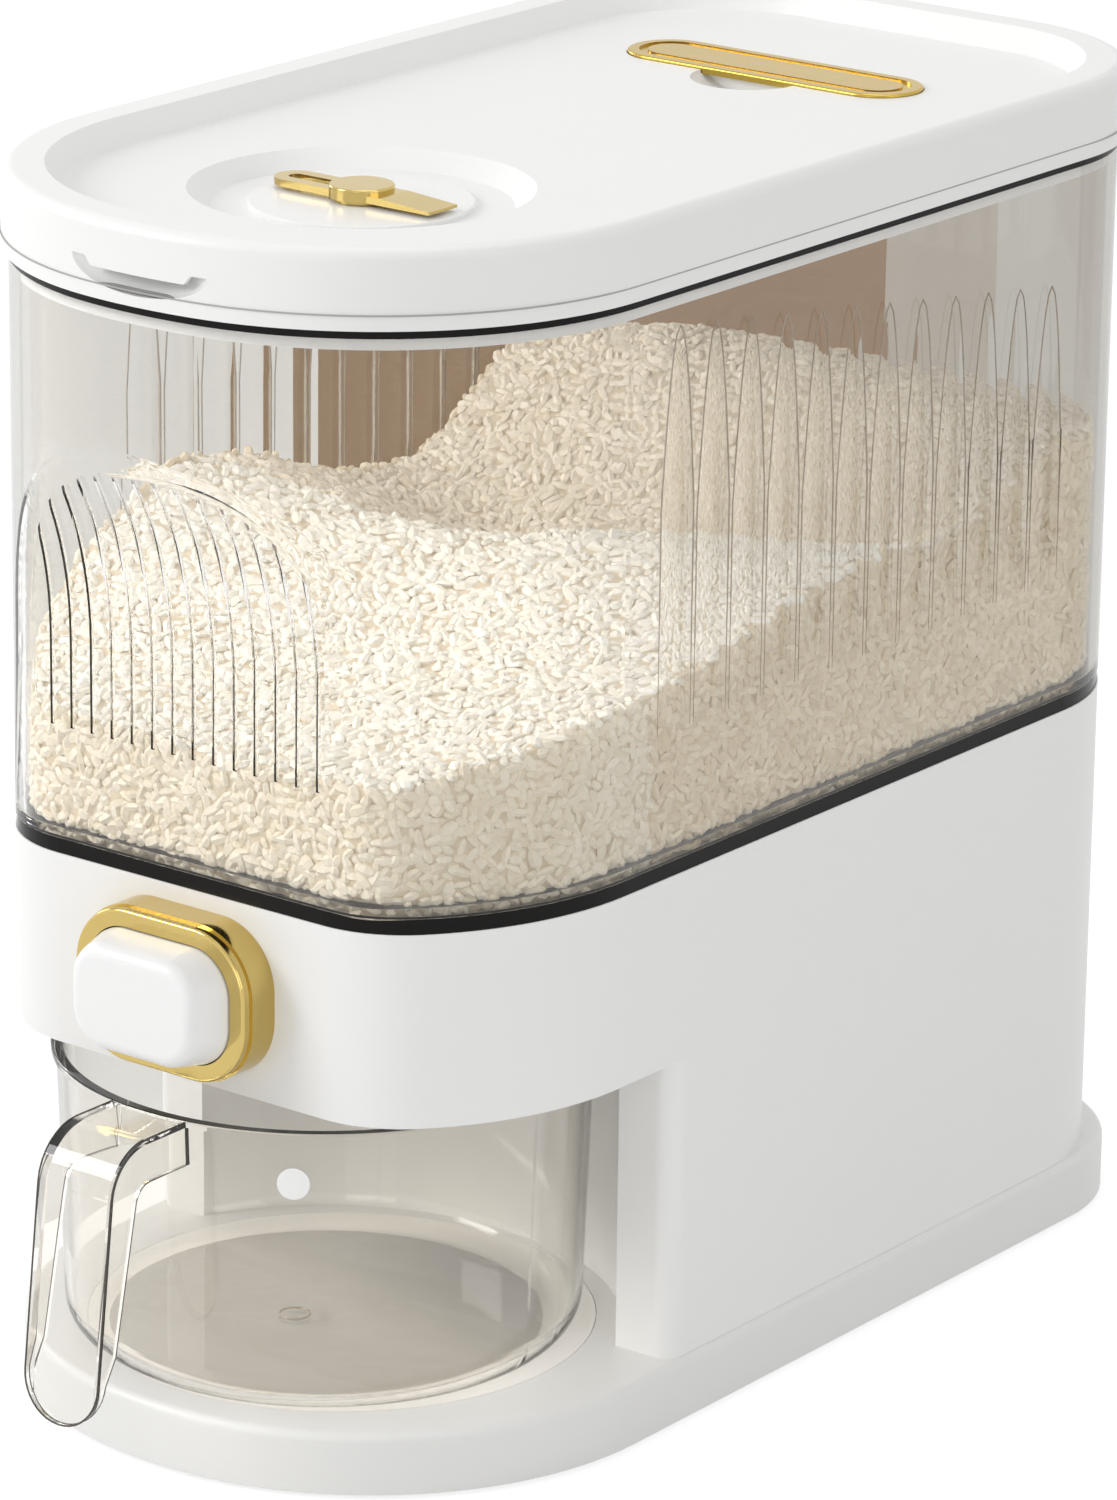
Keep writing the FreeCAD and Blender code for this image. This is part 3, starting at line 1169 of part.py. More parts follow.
dial_boss = cone("DialBoss", S.dial_floor_radius + S.lid_wall - 0.5,
                 S.dial_rim_radius + S.lid_wall, 0.0, S.dial_y, DIAL_FLOOR - S.lid_wall,
                 LID_FLOOR + 0.2)
RIM_STEP = (S.dial_rim_radius - S.dial_floor_radius) / S.dial_depth
dial_pocket = cone("DialPocket", S.dial_floor_radius, S.dial_rim_radius + RIM_STEP, 0.0,
                   S.dial_y, DIAL_FLOOR, TRAY + UNDER)
shaft_hole = cylinder("ShaftHole", S.shaft_radius + S.running_gap, 0.0, S.dial_y,
                      DIAL_FLOOR - S.lid_wall - UNDER, DIAL_FLOOR + UNDER)

COVER_BOTTOM = TRAY + S.cover_proud - S.cover_thickness
cover_recess = stadium_prism("CoverRecess", S.cover_half + 0.3, S.cover_radius + 0.3,
                             S.cover_y, COVER_BOTTOM, TRAY + UNDER)
box_opening = stadium_prism("BoxOpening", S.box_half, S.box_radius, S.box_y,
                            LID_FLOOR - UNDER, TRAY + UNDER)
SCOOP_Y = S.box_y - S.box_radius - S.box_wall - 3
dish = add("Part::Ellipsoid", "FingerDish", Radius1=Size(6, "6"), Radius2=S.scoop_finger,
           Radius3=S.scoop_finger)
place(dish, 0.0, S.cover_y - S.cover_radius, TRAY)
finger_dish = common("FingerDishTrimmed", dish,
                     box("DishLimit", -30.0, 30.0, S.dial_y, SCOOP_Y + 1.2,
                         TRAY - 10, TRAY + 10))
dish_boss = add("Part::Ellipsoid", "DishBoss", Radius1=Size(8, "8"),
                Radius2=S.scoop_finger + 2, Radius3=S.scoop_finger + 2)
place(dish_boss, 0.0, S.cover_y - S.cover_radius, TRAY)
finger_boss = common("DishBossTrimmed", dish_boss,
                     box("DishBossLimit", -30.0, 30.0, S.dial_y, SCOOP_Y + 2.8,
                         TRAY - 10, TRAY - 1))

LID_KNUCKLE = S.middle_knuckle + S.knuckle_gap
lid_hinges = []
for side, x0, x1 in (("Right", LID_KNUCKLE, PIN_END), ("Left", -PIN_END, -LID_KNUCKLE)):
    lid_hinges.append(bar("LidKnuckle" + side, S.knuckle_radius, x0, x1, HINGE_Y, SEAM))
    lid_hinges.append(box("LidKnuckleWeb" + side, x0, x1, HINGE_Y - S.knuckle_radius,
                          HINGE_Y + 0.6, SEAM, LID_TOP - S.lid_wall + 0.5))
lid_skin = cut("LidSkin", cut("LidCarved", lid_round, rim_hollow), under_floor)
lid_body = fuse("LidBody", lid_skin, plug, lip_trim, dial_boss, finger_boss)
lid_pockets = fuse("LidPockets", tray, dial_pocket, shaft_hole, cover_recess, box_opening,
                   finger_dish,
                   bar("KnuckleRoom", S.knuckle_radius + 0.6, -LID_KNUCKLE, LID_KNUCKLE,
                       HINGE_Y, SEAM))
lid_bores = bar("LidBore", S.pin_radius + S.running_gap, -PIN_END - UNDER, PIN_END + UNDER,
                HINGE_Y, SEAM)
node("lid", cut("Lid", fuse("LidWithHinges", cut("LidOpened", lid_body, lid_pockets),
                            *lid_hinges), lid_bores))

node("lid_seal", cut("LidSeal",
                     D.prism("LidSealOutside", -S.plug_inset + S.lid_seal_width, PLUG_BOTTOM,
                             PLUG_BOTTOM + S.lid_seal_height),
                     D.prism("LidSealInside", -S.plug_inset, PLUG_BOTTOM - UNDER,
                             PLUG_BOTTOM + S.lid_seal_height + UNDER)))

disc = cylinder("DiscBlank", S.disc_radius, 0.0, S.dial_y, DIAL_FLOOR, DISC_TOP)
node("dial_disc", cut("DialDisc",
                      fillet("DiscRound", disc, 0.5, flat_at(float(DISC_TOP))),
                      cylinder("DiscHole", S.shaft_radius + S.running_gap, 0.0, S.dial_y,
                               DIAL_FLOOR - UNDER, DISC_TOP + UNDER)))

# Desiccant box under the lid and the cover that closes it
box_outside = stadium_prism("BoxOutside", S.box_half + S.box_wall, S.box_radius + S.box_wall,
                            S.box_y, LID_FLOOR - S.box_depth, LID_FLOOR)
box_inside = stadium_prism("BoxInside", S.box_half, S.box_radius, S.box_y,
                           LID_FLOOR - S.box_depth + S.box_wall, LID_FLOOR + UNDER)
vents = []
for index in range(8):
    x = 9.0 * (index - 3.5)
    vents.append(box("VentFloor%d" % (index + 1), x - 1.2, x + 1.2,
                     S.box_y - S.box_radius + 3, S.box_y + S.box_radius - 3,
                     LID_FLOOR - S.box_depth - UNDER, LID_FLOOR - S.box_depth + 3))
    vents.append(box("VentSide%d" % (index + 1), x - 1.2, x + 1.2,
                     S.box_y - S.box_radius - 4, S.box_y + S.box_radius + 4,
                     LID_FLOOR - S.box_depth + 5, LID_FLOOR - 6))
node("desiccant_box", cut("DesiccantBox", box_outside,
                          fuse("BoxCuts", box_inside, *vents)))

COVER_TOP = COVER_BOTTOM + S.cover_thickness
cover_blank = stadium_prism("CoverBlank", S.cover_half, S.cover_radius, S.cover_y,
                            COVER_BOTTOM, COVER_TOP)
cover_round = fillet("CoverRound", cover_blank, 0.7, flat_at(float(COVER_TOP)))
cover_field = stadium_prism("CoverField", S.cover_half - S.cover_rim,
                            S.cover_radius - S.cover_rim, S.cover_y,
                            COVER_TOP - S.cover_hollow, COVER_TOP + UNDER)
cover_island = stadium_prism("CoverIsland", S.cover_half - S.cover_rim - 2.6,
                             S.cover_radius - S.cover_rim - 2.6, S.cover_y,
                             COVER_TOP - S.cover_hollow - 0.3, COVER_TOP - 0.1)
node("desiccant_cover", fuse("DesiccantCover", cut("CoverPlate", cover_round, cover_field),
                             cover_island))

# ---------------------------------------------------------------------------
# Key on the dial
# ---------------------------------------------------------------------------
KNOB_TOP = DISC_TOP + S.knob_height
BOW_BOTTOM = DISC_TOP + S.bow_lift
BOW_TOP = BOW_BOTTOM + S.bow_thickness
GLAND_LOW = DIAL_FLOOR - S.lid_wall + 0.6
GLAND_HIGH = GLAND_LOW + 1.2
WASHER_TOP = DIAL_FLOOR - S.lid_wall
WASHER_BOTTOM = WASHER_TOP - 1
CLIP_BOTTOM = WASHER_BOTTOM - 1
SHAFT_BOTTOM = CLIP_BOTTOM - 1.6
GROOVE = S.shaft_radius - 0.6
shaft_points = [
    (0.0, SHAFT_BOTTOM), (S.shaft_radius - 0.4, SHAFT_BOTTOM),
    (S.shaft_radius, SHAFT_BOTTOM + 0.4), (S.shaft_radius, CLIP_BOTTOM),
    (GROOVE, CLIP_BOTTOM), (GROOVE, WASHER_BOTTOM), (S.shaft_radius, WASHER_BOTTOM),
    (S.shaft_radius, GLAND_LOW), (S.shaft_radius - 1, GLAND_LOW),
    (S.shaft_radius - 1, GLAND_HIGH), (S.shaft_radius, GLAND_HIGH),
    (S.shaft_radius, KNOB_TOP - 1.6), (0.0, KNOB_TOP - 1.6),
]
node("key_shaft", turned("KeyShaft", shaft_points, 0.0, S.dial_y))
knob_blank = turned("KnobBlank", [
    (S.shaft_radius, DISC_TOP + 0.1), (S.knob_neck, DISC_TOP + 0.1), (S.knob_neck, BOW_BOTTOM),
    (S.shaft_radius, BOW_BOTTOM)], 0.0, S.dial_y)
node("key_collar", knob_blank)
knob_cap = cut("KnobCap",
               cylinder("KnobCapBlank", S.knob_radius, 0.0, S.dial_y, BOW_TOP, KNOB_TOP),
               cylinder("KnobSocket", S.shaft_radius, 0.0, S.dial_y, BOW_TOP - UNDER,
                        KNOB_TOP - 1.6))
node("key_knob", fillet("KeyKnob", knob_cap, 0.6, flat_at(float(KNOB_TOP))))

bow_plan = fuse("BowPlan",
                box("BowBar", -S.bow_reach + S.bow_half, S.tongue_reach,
                    S.dial_y - S.bow_half, S.dial_y + S.bow_half, BOW_BOTTOM, BOW_TOP),
                cylinder("BowEnd", S.bow_half, -S.bow_reach + S.bow_half, S.dial_y,
                         BOW_BOTTOM, BOW_TOP),
                cylinder("BowHub", S.knob_radius, 0.0, S.dial_y, BOW_BOTTOM, BOW_TOP))
bow_slope = front_prism("BowSlope",
                        [(S.knob_radius + 2, BOW_TOP), (S.tongue_reach + UNDER, BOW_BOTTOM + 0.7),
                         (S.tongue_reach + UNDER, BOW_TOP + UNDER),
                         (S.knob_radius + 2, BOW_TOP + UNDER)],
                        S.dial_y - S.bow_half - UNDER, S.dial_y + S.bow_half + UNDER)
SLOT_END = -S.knob_radius - 1.2
bow_slot = fuse("BowSlot",
                box("BowSlotBar", -S.bow_reach + S.bow_half, SLOT_END,
                    S.dial_y - S.bow_slot, S.dial_y + S.bow_slot,
                    BOW_BOTTOM - UNDER, BOW_TOP + UNDER),
                cylinder("BowSlotEnd", S.bow_slot, -S.bow_reach + S.bow_half, S.dial_y,
                         BOW_BOTTOM - UNDER, BOW_TOP + UNDER),
                cylinder("BowEye", S.shaft_radius, 0.0, S.dial_y,
                         BOW_BOTTOM - UNDER, BOW_TOP + UNDER))
node("key_bow", cut("KeyBow", bow_plan, fuse("BowCuts", bow_slope, bow_slot)))

ring = add("Part::Torus", "KeyORing", Radius1=S.shaft_radius - 0.5, Radius2=Size(0.5, "0.5"))
place(ring, 0.0, S.dial_y, GLAND_LOW + 0.6)
node("key_o_ring", ring)
node("key_washer", cut("KeyWasher",
                       cylinder("WasherBlank", S.shaft_radius + 3, 0.0, S.dial_y,
                                WASHER_BOTTOM, WASHER_TOP),
                       cylinder("WasherHole", S.shaft_radius + S.running_gap, 0.0, S.dial_y,
                                WASHER_BOTTOM - UNDER, WASHER_TOP + UNDER)))
node("key_clip", cut("KeyClip",
                     cylinder("ClipBlank", S.shaft_radius + 1.6, 0.0, S.dial_y,
                              CLIP_BOTTOM, WASHER_BOTTOM),
                     fuse("ClipCuts",
                          cylinder("ClipHole", GROOVE, 0.0, S.dial_y, CLIP_BOTTOM - UNDER,
                                   WASHER_BOTTOM + UNDER),
                          box("ClipGap", -1.4, 1.4, S.dial_y - 8, S.dial_y,
                              CLIP_BOTTOM - UNDER, WASHER_BOTTOM + UNDER))))

# ---------------------------------------------------------------------------
# Measuring cup that pulls out like a drawer
# ---------------------------------------------------------------------------
RIM_LOW = S.cup_top - S.cup_rim_height
WALL_LEAN = (S.cup_radius - S.cup_foot_radius) / (RIM_LOW - CUP_BOTTOM)
FLOOR_TOP = CUP_BOTTOM + S.cup_floor
cup_outside = turned("CupOutside", [
    (0.0, CUP_BOTTOM), (S.cup_foot_radius, CUP_BOTTOM), (S.cup_radius, RIM_LOW),
    (S.cup_rim_radius, RIM_LOW + 0.6), (S.cup_rim_radius, S.cup_top), (0.0, S.cup_top)],
    0.0, S.cup_y)
cup_round = fillet("CupRound", cup_outside, S.cup_round, flat_at(float(CUP_BOTTOM)))
cup_inside = turned("CupInside", [
    (0.0, FLOOR_TOP),
    (S.cup_foot_radius - S.cup_wall + WALL_LEAN * S.cup_floor, FLOOR_TOP),
    (S.cup_radius - S.cup_wall, RIM_LOW),
    (S.cup_radius - S.cup_wall + WALL_LEAN * (S.cup_rim_height + UNDER), S.cup_top + UNDER),
    (0.0, S.cup_top + UNDER)], 0.0, S.cup_y)
cup_inside_round = fillet("CupInsideRound", cup_inside, S.cup_round - S.cup_wall,
                          flat_at(float(FLOOR_TOP)))
cup_shell = cut("CupShell", cup_round, cup_inside_round)
node("cup_body", fillet("CupBody", cup_shell, 0.5, flat_at(float(S.cup_top))))

# Handle: an angled channel, open towards the cup
ARM_BOTTOM = S.handle_top - S.handle_arm
GRIP_TOP = S.handle_front + S.handle_lean
LEAN = (GRIP_TOP - S.handle_front) / (S.handle_top - 15 - S.handle_foot)
CORNER_Y = S.handle_front + LEAN * (S.handle_top - S.handle_foot)
ARM_END = S.cup_y - S.cup_radius + 6
handle_block = side_prism("HandleBlock", [
    (ARM_END, S.handle_top), (CORNER_Y, S.handle_top), (S.handle_front, S.handle_foot),
    (S.handle_front + 2.2, S.handle_foot), (S.handle_front + 4.6, S.handle_foot + 12),
    (S.handle_front + S.handle_depth, S.handle_foot + 20),
    (CORNER_Y + S.handle_depth + 0.6, ARM_BOTTOM), (ARM_END, ARM_BOTTOM)],
    -S.handle_half, S.handle_half)
handle_bend = fillet("HandleBend", handle_block, S.handle_bend,
                     lambda edge, middle: abs(middle.y - float(CORNER_Y)) < 0.01
                     and abs(middle.z - float(S.handle_top)) < 0.01)
handle_inner = fillet("HandleInnerBend", handle_bend, 6.0,
                      lambda edge, middle: abs(middle.y - float(CORNER_Y + S.handle_depth + 0.6))
                      < 0.01 and abs(middle.z - float(ARM_BOTTOM)) < 0.01)
SKIN_Y = S.handle_wall * (1 + 0.5 * LEAN * LEAN)
INNER_CORNER = CORNER_Y + SKIN_Y - LEAN * S.handle_wall
channel_block = side_prism("ChannelBlock", [
    (ARM_END + UNDER, S.handle_top - S.handle_wall),
    (INNER_CORNER, S.handle_top - S.handle_wall),
    (S.handle_front + SKIN_Y - LEAN * 2.0, S.handle_foot - 2.0),
    (S.handle_front + 12, S.handle_foot - 2.0),
    (S.handle_front + 22, S.handle_foot + 20),
    (S.handle_front + 26, ARM_BOTTOM - 2), (ARM_END + UNDER, ARM_BOTTOM - 2)],
    -S.handle_half + S.handle_wall, S.handle_half - S.handle_wall)
channel_bend = fillet("ChannelBend", channel_block, S.handle_bend - S.handle_wall,
                      lambda edge, middle: abs(middle.y - float(INNER_CORNER)) < 0.01
                      and abs(middle.z - float(S.handle_top - S.handle_wall)) < 0.01)
grip_end = extrude("GripEnd", place(rounded("GripEndOutline", S.handle_half,
                                            (S.handle_top - S.handle_foot) / 2 + 10,
                                            S.handle_half - 0.2),
                                    0.0, ARM_END + 2,
                                    S.handle_foot + (S.handle_top - S.handle_foot) / 2 + 10,
                                    FACING), ARM_END + 2 - S.handle_front + 5)
handle_shell = common("HandleShell", cut("HandleChannel", handle_inner, channel_bend), grip_end)
node("cup_handle", cut("CupHandle", handle_shell, cup_round))

# White dot on the front of the cup
DOT_Z = Size(89, "89")
DOT_TURN = 32.8
DOT_RADIUS = S.cup_foot_radius + WALL_LEAN * (DOT_Z - CUP_BOTTOM)
dot = add("Part::Cylinder", "DotBlank", Radius=Size(4.5, "4.5"), Height=Size(4, "4"))
spin = Rotation(Vector(0, 0, 1), DOT_TURN).multiply(Rotation(Vector(1, 0, 0), 90))
angle = math.radians(DOT_TURN)
place(dot, float(DOT_RADIUS - 2) * math.sin(angle),
      float(S.cup_y) - float(DOT_RADIUS - 2) * math.cos(angle), DOT_Z, spin)
dot_limit = cylinder("DotLimit", DOT_RADIUS + 0.5, 0.0, S.cup_y, DOT_Z - 8, DOT_Z + 8)
node("cup_dot", cut("CupDot", common("DotCurved", dot, dot_limit), cup_round))

# ---------------------------------------------------------------------------
# Check and write every piece
# ---------------------------------------------------------------------------
doc.recompute()
for thing in doc.Objects:
    if "Invalid" in thing.State or "Error" in thing.State:
        raise ValueError("%s did not build: %s" % (thing.Name, thing.State))
os.makedirs("parts", exist_ok=True)
for thing in NODES:
    if thing.Shape.isNull() or not thing.Shape.isValid():
        raise ValueError("%s has no valid shape" % thing.Label)
    thing.Shape.exportStep("parts/%s.step" % thing.Label)
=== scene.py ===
# %% [markdown]
# # A rice dispenser, dressed for its picture
# The hard parts of the dispenser come ready made from its construction model: the white
# housing, the clear bin and cup, the gold trim. Blender adds what those parts can't have:
# their finishes, the rice in the bin, the light and the camera. Everything is in metres, in
# the same frame as the construction model, so nothing has to be fitted by eye.

# %% Load the parts
import math

import bpy
import numpy as np
from mathutils import Matrix, Vector


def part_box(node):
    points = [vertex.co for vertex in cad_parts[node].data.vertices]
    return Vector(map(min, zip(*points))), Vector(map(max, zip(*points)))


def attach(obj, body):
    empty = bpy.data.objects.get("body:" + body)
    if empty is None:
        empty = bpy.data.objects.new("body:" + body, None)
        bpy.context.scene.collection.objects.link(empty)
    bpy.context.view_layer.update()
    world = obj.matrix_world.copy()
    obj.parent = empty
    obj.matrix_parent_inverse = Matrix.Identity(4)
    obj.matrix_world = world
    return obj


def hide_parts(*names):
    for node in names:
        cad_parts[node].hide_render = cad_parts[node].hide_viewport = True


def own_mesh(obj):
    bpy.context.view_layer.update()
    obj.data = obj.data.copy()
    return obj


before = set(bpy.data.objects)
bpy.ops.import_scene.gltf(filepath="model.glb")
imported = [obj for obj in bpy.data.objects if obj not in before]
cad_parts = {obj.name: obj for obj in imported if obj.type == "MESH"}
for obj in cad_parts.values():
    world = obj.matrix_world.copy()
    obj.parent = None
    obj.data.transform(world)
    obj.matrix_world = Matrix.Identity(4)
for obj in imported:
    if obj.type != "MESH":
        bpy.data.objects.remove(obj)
scene = bpy.context.scene
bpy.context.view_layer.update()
MM = 0.001


# %% [markdown]
# ## Helpers for modelling
# An operator in Blender acts on everything that is selected, and loading the parts leaves
# them selected. So one small helper clears the selection and picks a single object, and it
# is called before every piece of modelling. The others settle a finished mesh, work on a
# whole mesh in edit mode, and add a modifier and apply it.

# %% Helpers for modelling
def pick(thing):
    """Only this object is selected and active."""
    if bpy.context.object and bpy.context.object.mode != "OBJECT":
        bpy.ops.object.mode_set(mode="OBJECT")
    bpy.ops.object.select_all(action="DESELECT")
    thing.select_set(True)
    bpy.context.view_layer.objects.active = thing


def settle(thing, name):
    """Name an object and put its place, turn and size into its mesh."""
    pick(thing)
    bpy.ops.object.transform_apply(location=True, rotation=True, scale=True)
    thing.name = thing.data.name = name


def edit_whole(thing, operator, **values):
    """Run one edit-mode operator on the whole mesh of an object."""
    pick(thing)
    bpy.ops.object.mode_set(mode="EDIT")
    bpy.ops.mesh.select_all(action="SELECT")
    operator(**values)
    bpy.ops.object.mode_set(mode="OBJECT")


def apply(thing, kind, **values):
    """Add a modifier, set it and apply it."""
    pick(thing)
    modifier = thing.modifiers.new(kind.title(), kind)
    for name, value in values.items():
        setattr(modifier, name, value)
    bpy.ops.object.modifier_apply(modifier=modifier.name)


# %% [markdown]
# ## Camera
# The camera stands where a person would stand to see the front, the right side and a little
# of the lid. A long lens flattens the perspective as product pictures do. The tilt is a
# small roll about the line of sight, so the uprights lean slightly.

# %% Camera
CAMERA_AT = Vector((1.16216, -1.50197, 0.78804))
SIGHT = Vector((-0.57720, 0.75490, -0.31139)).normalized()
ROLL = math.radians(0.7074)
LENS, SENSOR = 167.86, 36  # millimetres
BIN_MIDDLE = Vector((0, 0, 0.17))

across = SIGHT.cross(Vector((0, 0, 1))).normalized()
upward = across.cross(SIGHT)
right = across * math.cos(ROLL) + upward * math.sin(ROLL)
up = upward * math.cos(ROLL) - across * math.sin(ROLL)

camera_data = bpy.data.cameras.new("Camera")
camera = bpy.data.objects.new("Camera", camera_data)
scene.collection.objects.link(camera)
camera_data.lens = LENS
camera_data.sensor_width = SENSOR
camera_data.clip_end = 50
turn = Matrix((right, up, -SIGHT)).transposed().to_4x4()
camera.matrix_world = Matrix.Translation(CAMERA_AT) @ turn
scene.camera = camera
print("camera", round((CAMERA_AT - BIN_MIDDLE).length, 2), "m from the bin")


# %% [markdown]
# ## Node trees
# Every finish is a small tree of shader nodes. These helpers add a node, fill in its sockets
# and join two sockets. The next ones make a noise and use it for colour, gloss and relief,
# so each material below reads as a short recipe.

# %% Helpers for node trees
def node(tree, kind, x=0, y=0, **values):
    """Add a node; a value whose name is a property sets it, any other fills that socket."""
    made = tree.nodes.new(kind)
    made.location = (x, y)
    for name, value in values.items():
        socket = name.replace("_", " ")
        if hasattr(made, name):
            setattr(made, name, value)
        else:
            made.inputs[socket].default_value = value
    return made


def join(tree, start, end):
    """Join an output socket to an input socket."""
    tree.links.new(start, end)


def bare_tree(owner, kind, x):
    """The tree of a material or world, emptied down to an output; returns both."""
    owner.use_nodes = True
    owner.node_tree.nodes.clear()
    return owner.node_tree, node(owner.node_tree, kind, x, 0)


def new_finish(name):
    """A new material with only an output and a Principled shader in its tree."""
    material = bpy.data.materials.new(name)
    tree, output = bare_tree(material, "ShaderNodeOutputMaterial", 900)
    shader = node(tree, "ShaderNodeBsdfPrincipled", 500, 0)
    join(tree, shader.outputs["BSDF"], output.inputs["Surface"])
    return material, tree, shader, output


# %% Helpers for colour and surface
def place_noise(tree, scale, detail=3, x=-700, y=0, stretch=(1, 1, 1)):
    """Noise that is fixed to the piece, in cycles per metre; returns its Fac socket."""
    where = node(tree, "ShaderNodeTexCoord", x - 400, y)
    mapping = node(tree, "ShaderNodeMapping", x - 200, y, Scale=stretch)
    noise = node(tree, "ShaderNodeTexNoise", x, y, Scale=scale, Detail=detail)
    join(tree, where.outputs["Object"], mapping.inputs["Vector"])
    join(tree, mapping.outputs["Vector"], noise.inputs["Vector"])
    return noise.outputs["Fac"]


def blend_colours(tree, factor, first, second, x=-250, y=0):
    """Mix two colours by a factor socket; returns the colour socket."""
    mix = node(tree, "ShaderNodeMix", x, y, data_type="RGBA")
    join(tree, factor, mix.inputs[0])
    mix.inputs[6].default_value = (*first, 1)
    mix.inputs[7].default_value = (*second, 1)
    return mix.outputs[2]


def spread(tree, factor, low, high, x=-250, y=-200):
    """Turn noise, most of which lies from 0.3 to 0.7, into a number from low to high."""
    span = node(tree, "ShaderNodeMapRange", x, y, From_Min=0.3, From_Max=0.7,
                To_Min=low, To_Max=high)
    join(tree, factor, span.inputs["Value"])
    return span.outputs["Result"]


def bump(tree, shader, factor, strength, distance, x=200, y=-400):
    """Let noise tilt the surface for the light, without moving it."""
    relief = node(tree, "ShaderNodeBump", x, y, Strength=strength, Distance=distance)
    join(tree, factor, relief.inputs["Height"])
    join(tree, relief.outputs["Normal"], shader.inputs["Normal"])


# %% [markdown]
# ## White plastic
# The housing, plinth, lid and frame are moulded in white ABS with a satin skin. Real
# moulded plastic is never one flat colour: it clouds very slightly, and its skin carries a
# fine spark texture that breaks up reflections. Two noises do that, a wide one for the
# cloud and a fine one for the skin.

# %% White plastics
PLASTIC_IOR, CLOUDS, SKIN_DEPTH = 1.5, 14, 0.00012  # clouds a metre, depth in metres


def moulded(name, light, dark, rough_low, rough_high, skin=0.03, grain=2600):
    """A moulded plastic: two close tones, a spread of roughness and a fine skin."""
    material, tree, shader, _ = new_finish(name)
    cloud = place_noise(tree, CLOUDS, y=200)
    join(tree, blend_colours(tree, cloud, light, dark, y=200), shader.inputs["Base Color"])
    fine = place_noise(tree, grain, detail=2, y=-300)
    join(tree, spread(tree, fine, rough_low, rough_high), shader.inputs["Roughness"])
    bump(tree, shader, fine, skin, SKIN_DEPTH)
    shader.inputs["IOR"].default_value = PLASTIC_IOR
    return material


white_plastic = moulded("WhitePlastic", (0.875, 0.873, 0.862), (0.86, 0.857, 0.843), 0.34, 0.42)
dial_white = moulded("DialWhite", (0.885, 0.883, 0.872), (0.872, 0.87, 0.856), 0.26, 0.33)
cap_white = moulded("ButtonWhite", (0.885, 0.885, 0.88), (0.875, 0.873, 0.868), 0.28, 0.36)
base_plastic = moulded("BasePlastic", (0.82, 0.818, 0.80), (0.805, 0.80, 0.782), 0.36, 0.44)
inner_plastic = moulded("InnerPlastic", (0.80, 0.795, 0.78), (0.77, 0.765, 0.745), 0.5, 0.6)
# The pad is paler than the housing: painted light on the shaded floor of the bay, seen through
# the cup.
pad_plastic_painted_light = moulded("PadPlasticPaintedLight", (0.93, 0.91, 0.875), (0.91, 0.885, 0.84), 0.5, 0.58,
                      skin=0.1, grain=1400)
dot_white = moulded("DotWhite", (0.92, 0.92, 0.91), (0.9, 0.9, 0.89), 0.3, 0.4)
print("white finishes made")

# %% Rubber and silicone
silicone = moulded("Silicone", (0.74, 0.73, 0.70), (0.70, 0.69, 0.66), 0.45, 0.55)
grey_rubber = moulded("GreyRubber", (0.16, 0.16, 0.16), (0.13, 0.13, 0.13), 0.55, 0.7,
                      skin=0.15, grain=1200)
black_rubber = moulded("BlackRubber", (0.006, 0.005, 0.005), (0.01, 0.009, 0.008), 0.12, 0.22)
black_shader = black_rubber.node_tree.nodes["Principled BSDF"]
black_shader.inputs["Specular IOR Level"].default_value = 0.12  # a dull skin keeps it black
print("rubber finishes made")


# %% [markdown]
# ## Clear plastic
# The bin and the cup are moulded in clear plastic with real walls, so the light bends at
# each face. Where the surface is seen at a low angle the eye looks through more of it, so
# its tint deepens there and outlines it. Light from the lamps would be blocked by the
# plastic, because a path tracer can't find a lamp through a bend, so for shadow rays the
# shader is swapped for a Transparent one with a paler tint.

# %% Clear plastics
CLEAR_IOR = 1.49
GRAZING = (0.72, 0.97)  # the tint deepens between these, where 0 is face on and 1 edge on


def clear(name, tint, edge, lamp_tint, ripple):
    """A clear plastic: its tint face on and edge on, and its tint for the lamps' light."""
    material, tree, shader, output = new_finish(name)
    shader.inputs["Transmission Weight"].default_value = 1.0
    shader.inputs["IOR"].default_value = CLEAR_IOR
    weight = node(tree, "ShaderNodeLayerWeight", -700, 200, Blend=0.5)
    graze = node(tree, "ShaderNodeMapRange", -500, 200, From_Min=GRAZING[0],
                 From_Max=GRAZING[1])
    join(tree, weight.outputs["Facing"], graze.inputs["Value"])
    join(tree, blend_colours(tree, graze.outputs["Result"], tint, edge, y=200),
         shader.inputs["Base Color"])
    waves = place_noise(tree, 40, detail=1, y=-300, stretch=(1, 1, 0.25))
    bump(tree, shader, waves, ripple, 0.0006)
    smear = place_noise(tree, 90, detail=3, y=-700)
    join(tree, spread(tree, smear, 0.0, 0.02, y=-600), shader.inputs["Roughness"])
    path = node(tree, "ShaderNodeLightPath", 400, 400)
    through = node(tree, "ShaderNodeBsdfTransparent", 500, 200, Color=(*lamp_tint, 1))
    swap = node(tree, "ShaderNodeMixShader", 720, 100)
    join(tree, path.outputs["Is Shadow Ray"], swap.inputs[0])
    join(tree, shader.outputs["BSDF"], swap.inputs[1])
    join(tree, through.outputs["BSDF"], swap.inputs[2])
    join(tree, swap.outputs["Shader"], output.inputs["Surface"])
    return material


clear_bin = clear("ClearBin", (0.90, 0.893, 0.875), (0.35, 0.33, 0.30),
                  (0.98, 0.978, 0.97), ripple=0.12)
clear_cup = clear("ClearCup", (0.985, 0.968, 0.935), (0.09, 0.075, 0.06),
                  (0.99, 0.985, 0.975), ripple=0.08)
print("clear finishes made")


# %% [markdown]
# ## Gold and steel
# The trim is plated plastic. The bezel and the key are polished, and the cover plate is
# deeper in tone and brushed. A metal's colour is its base colour, and a little noise in the
# roughness keeps the highlights from looking drawn.

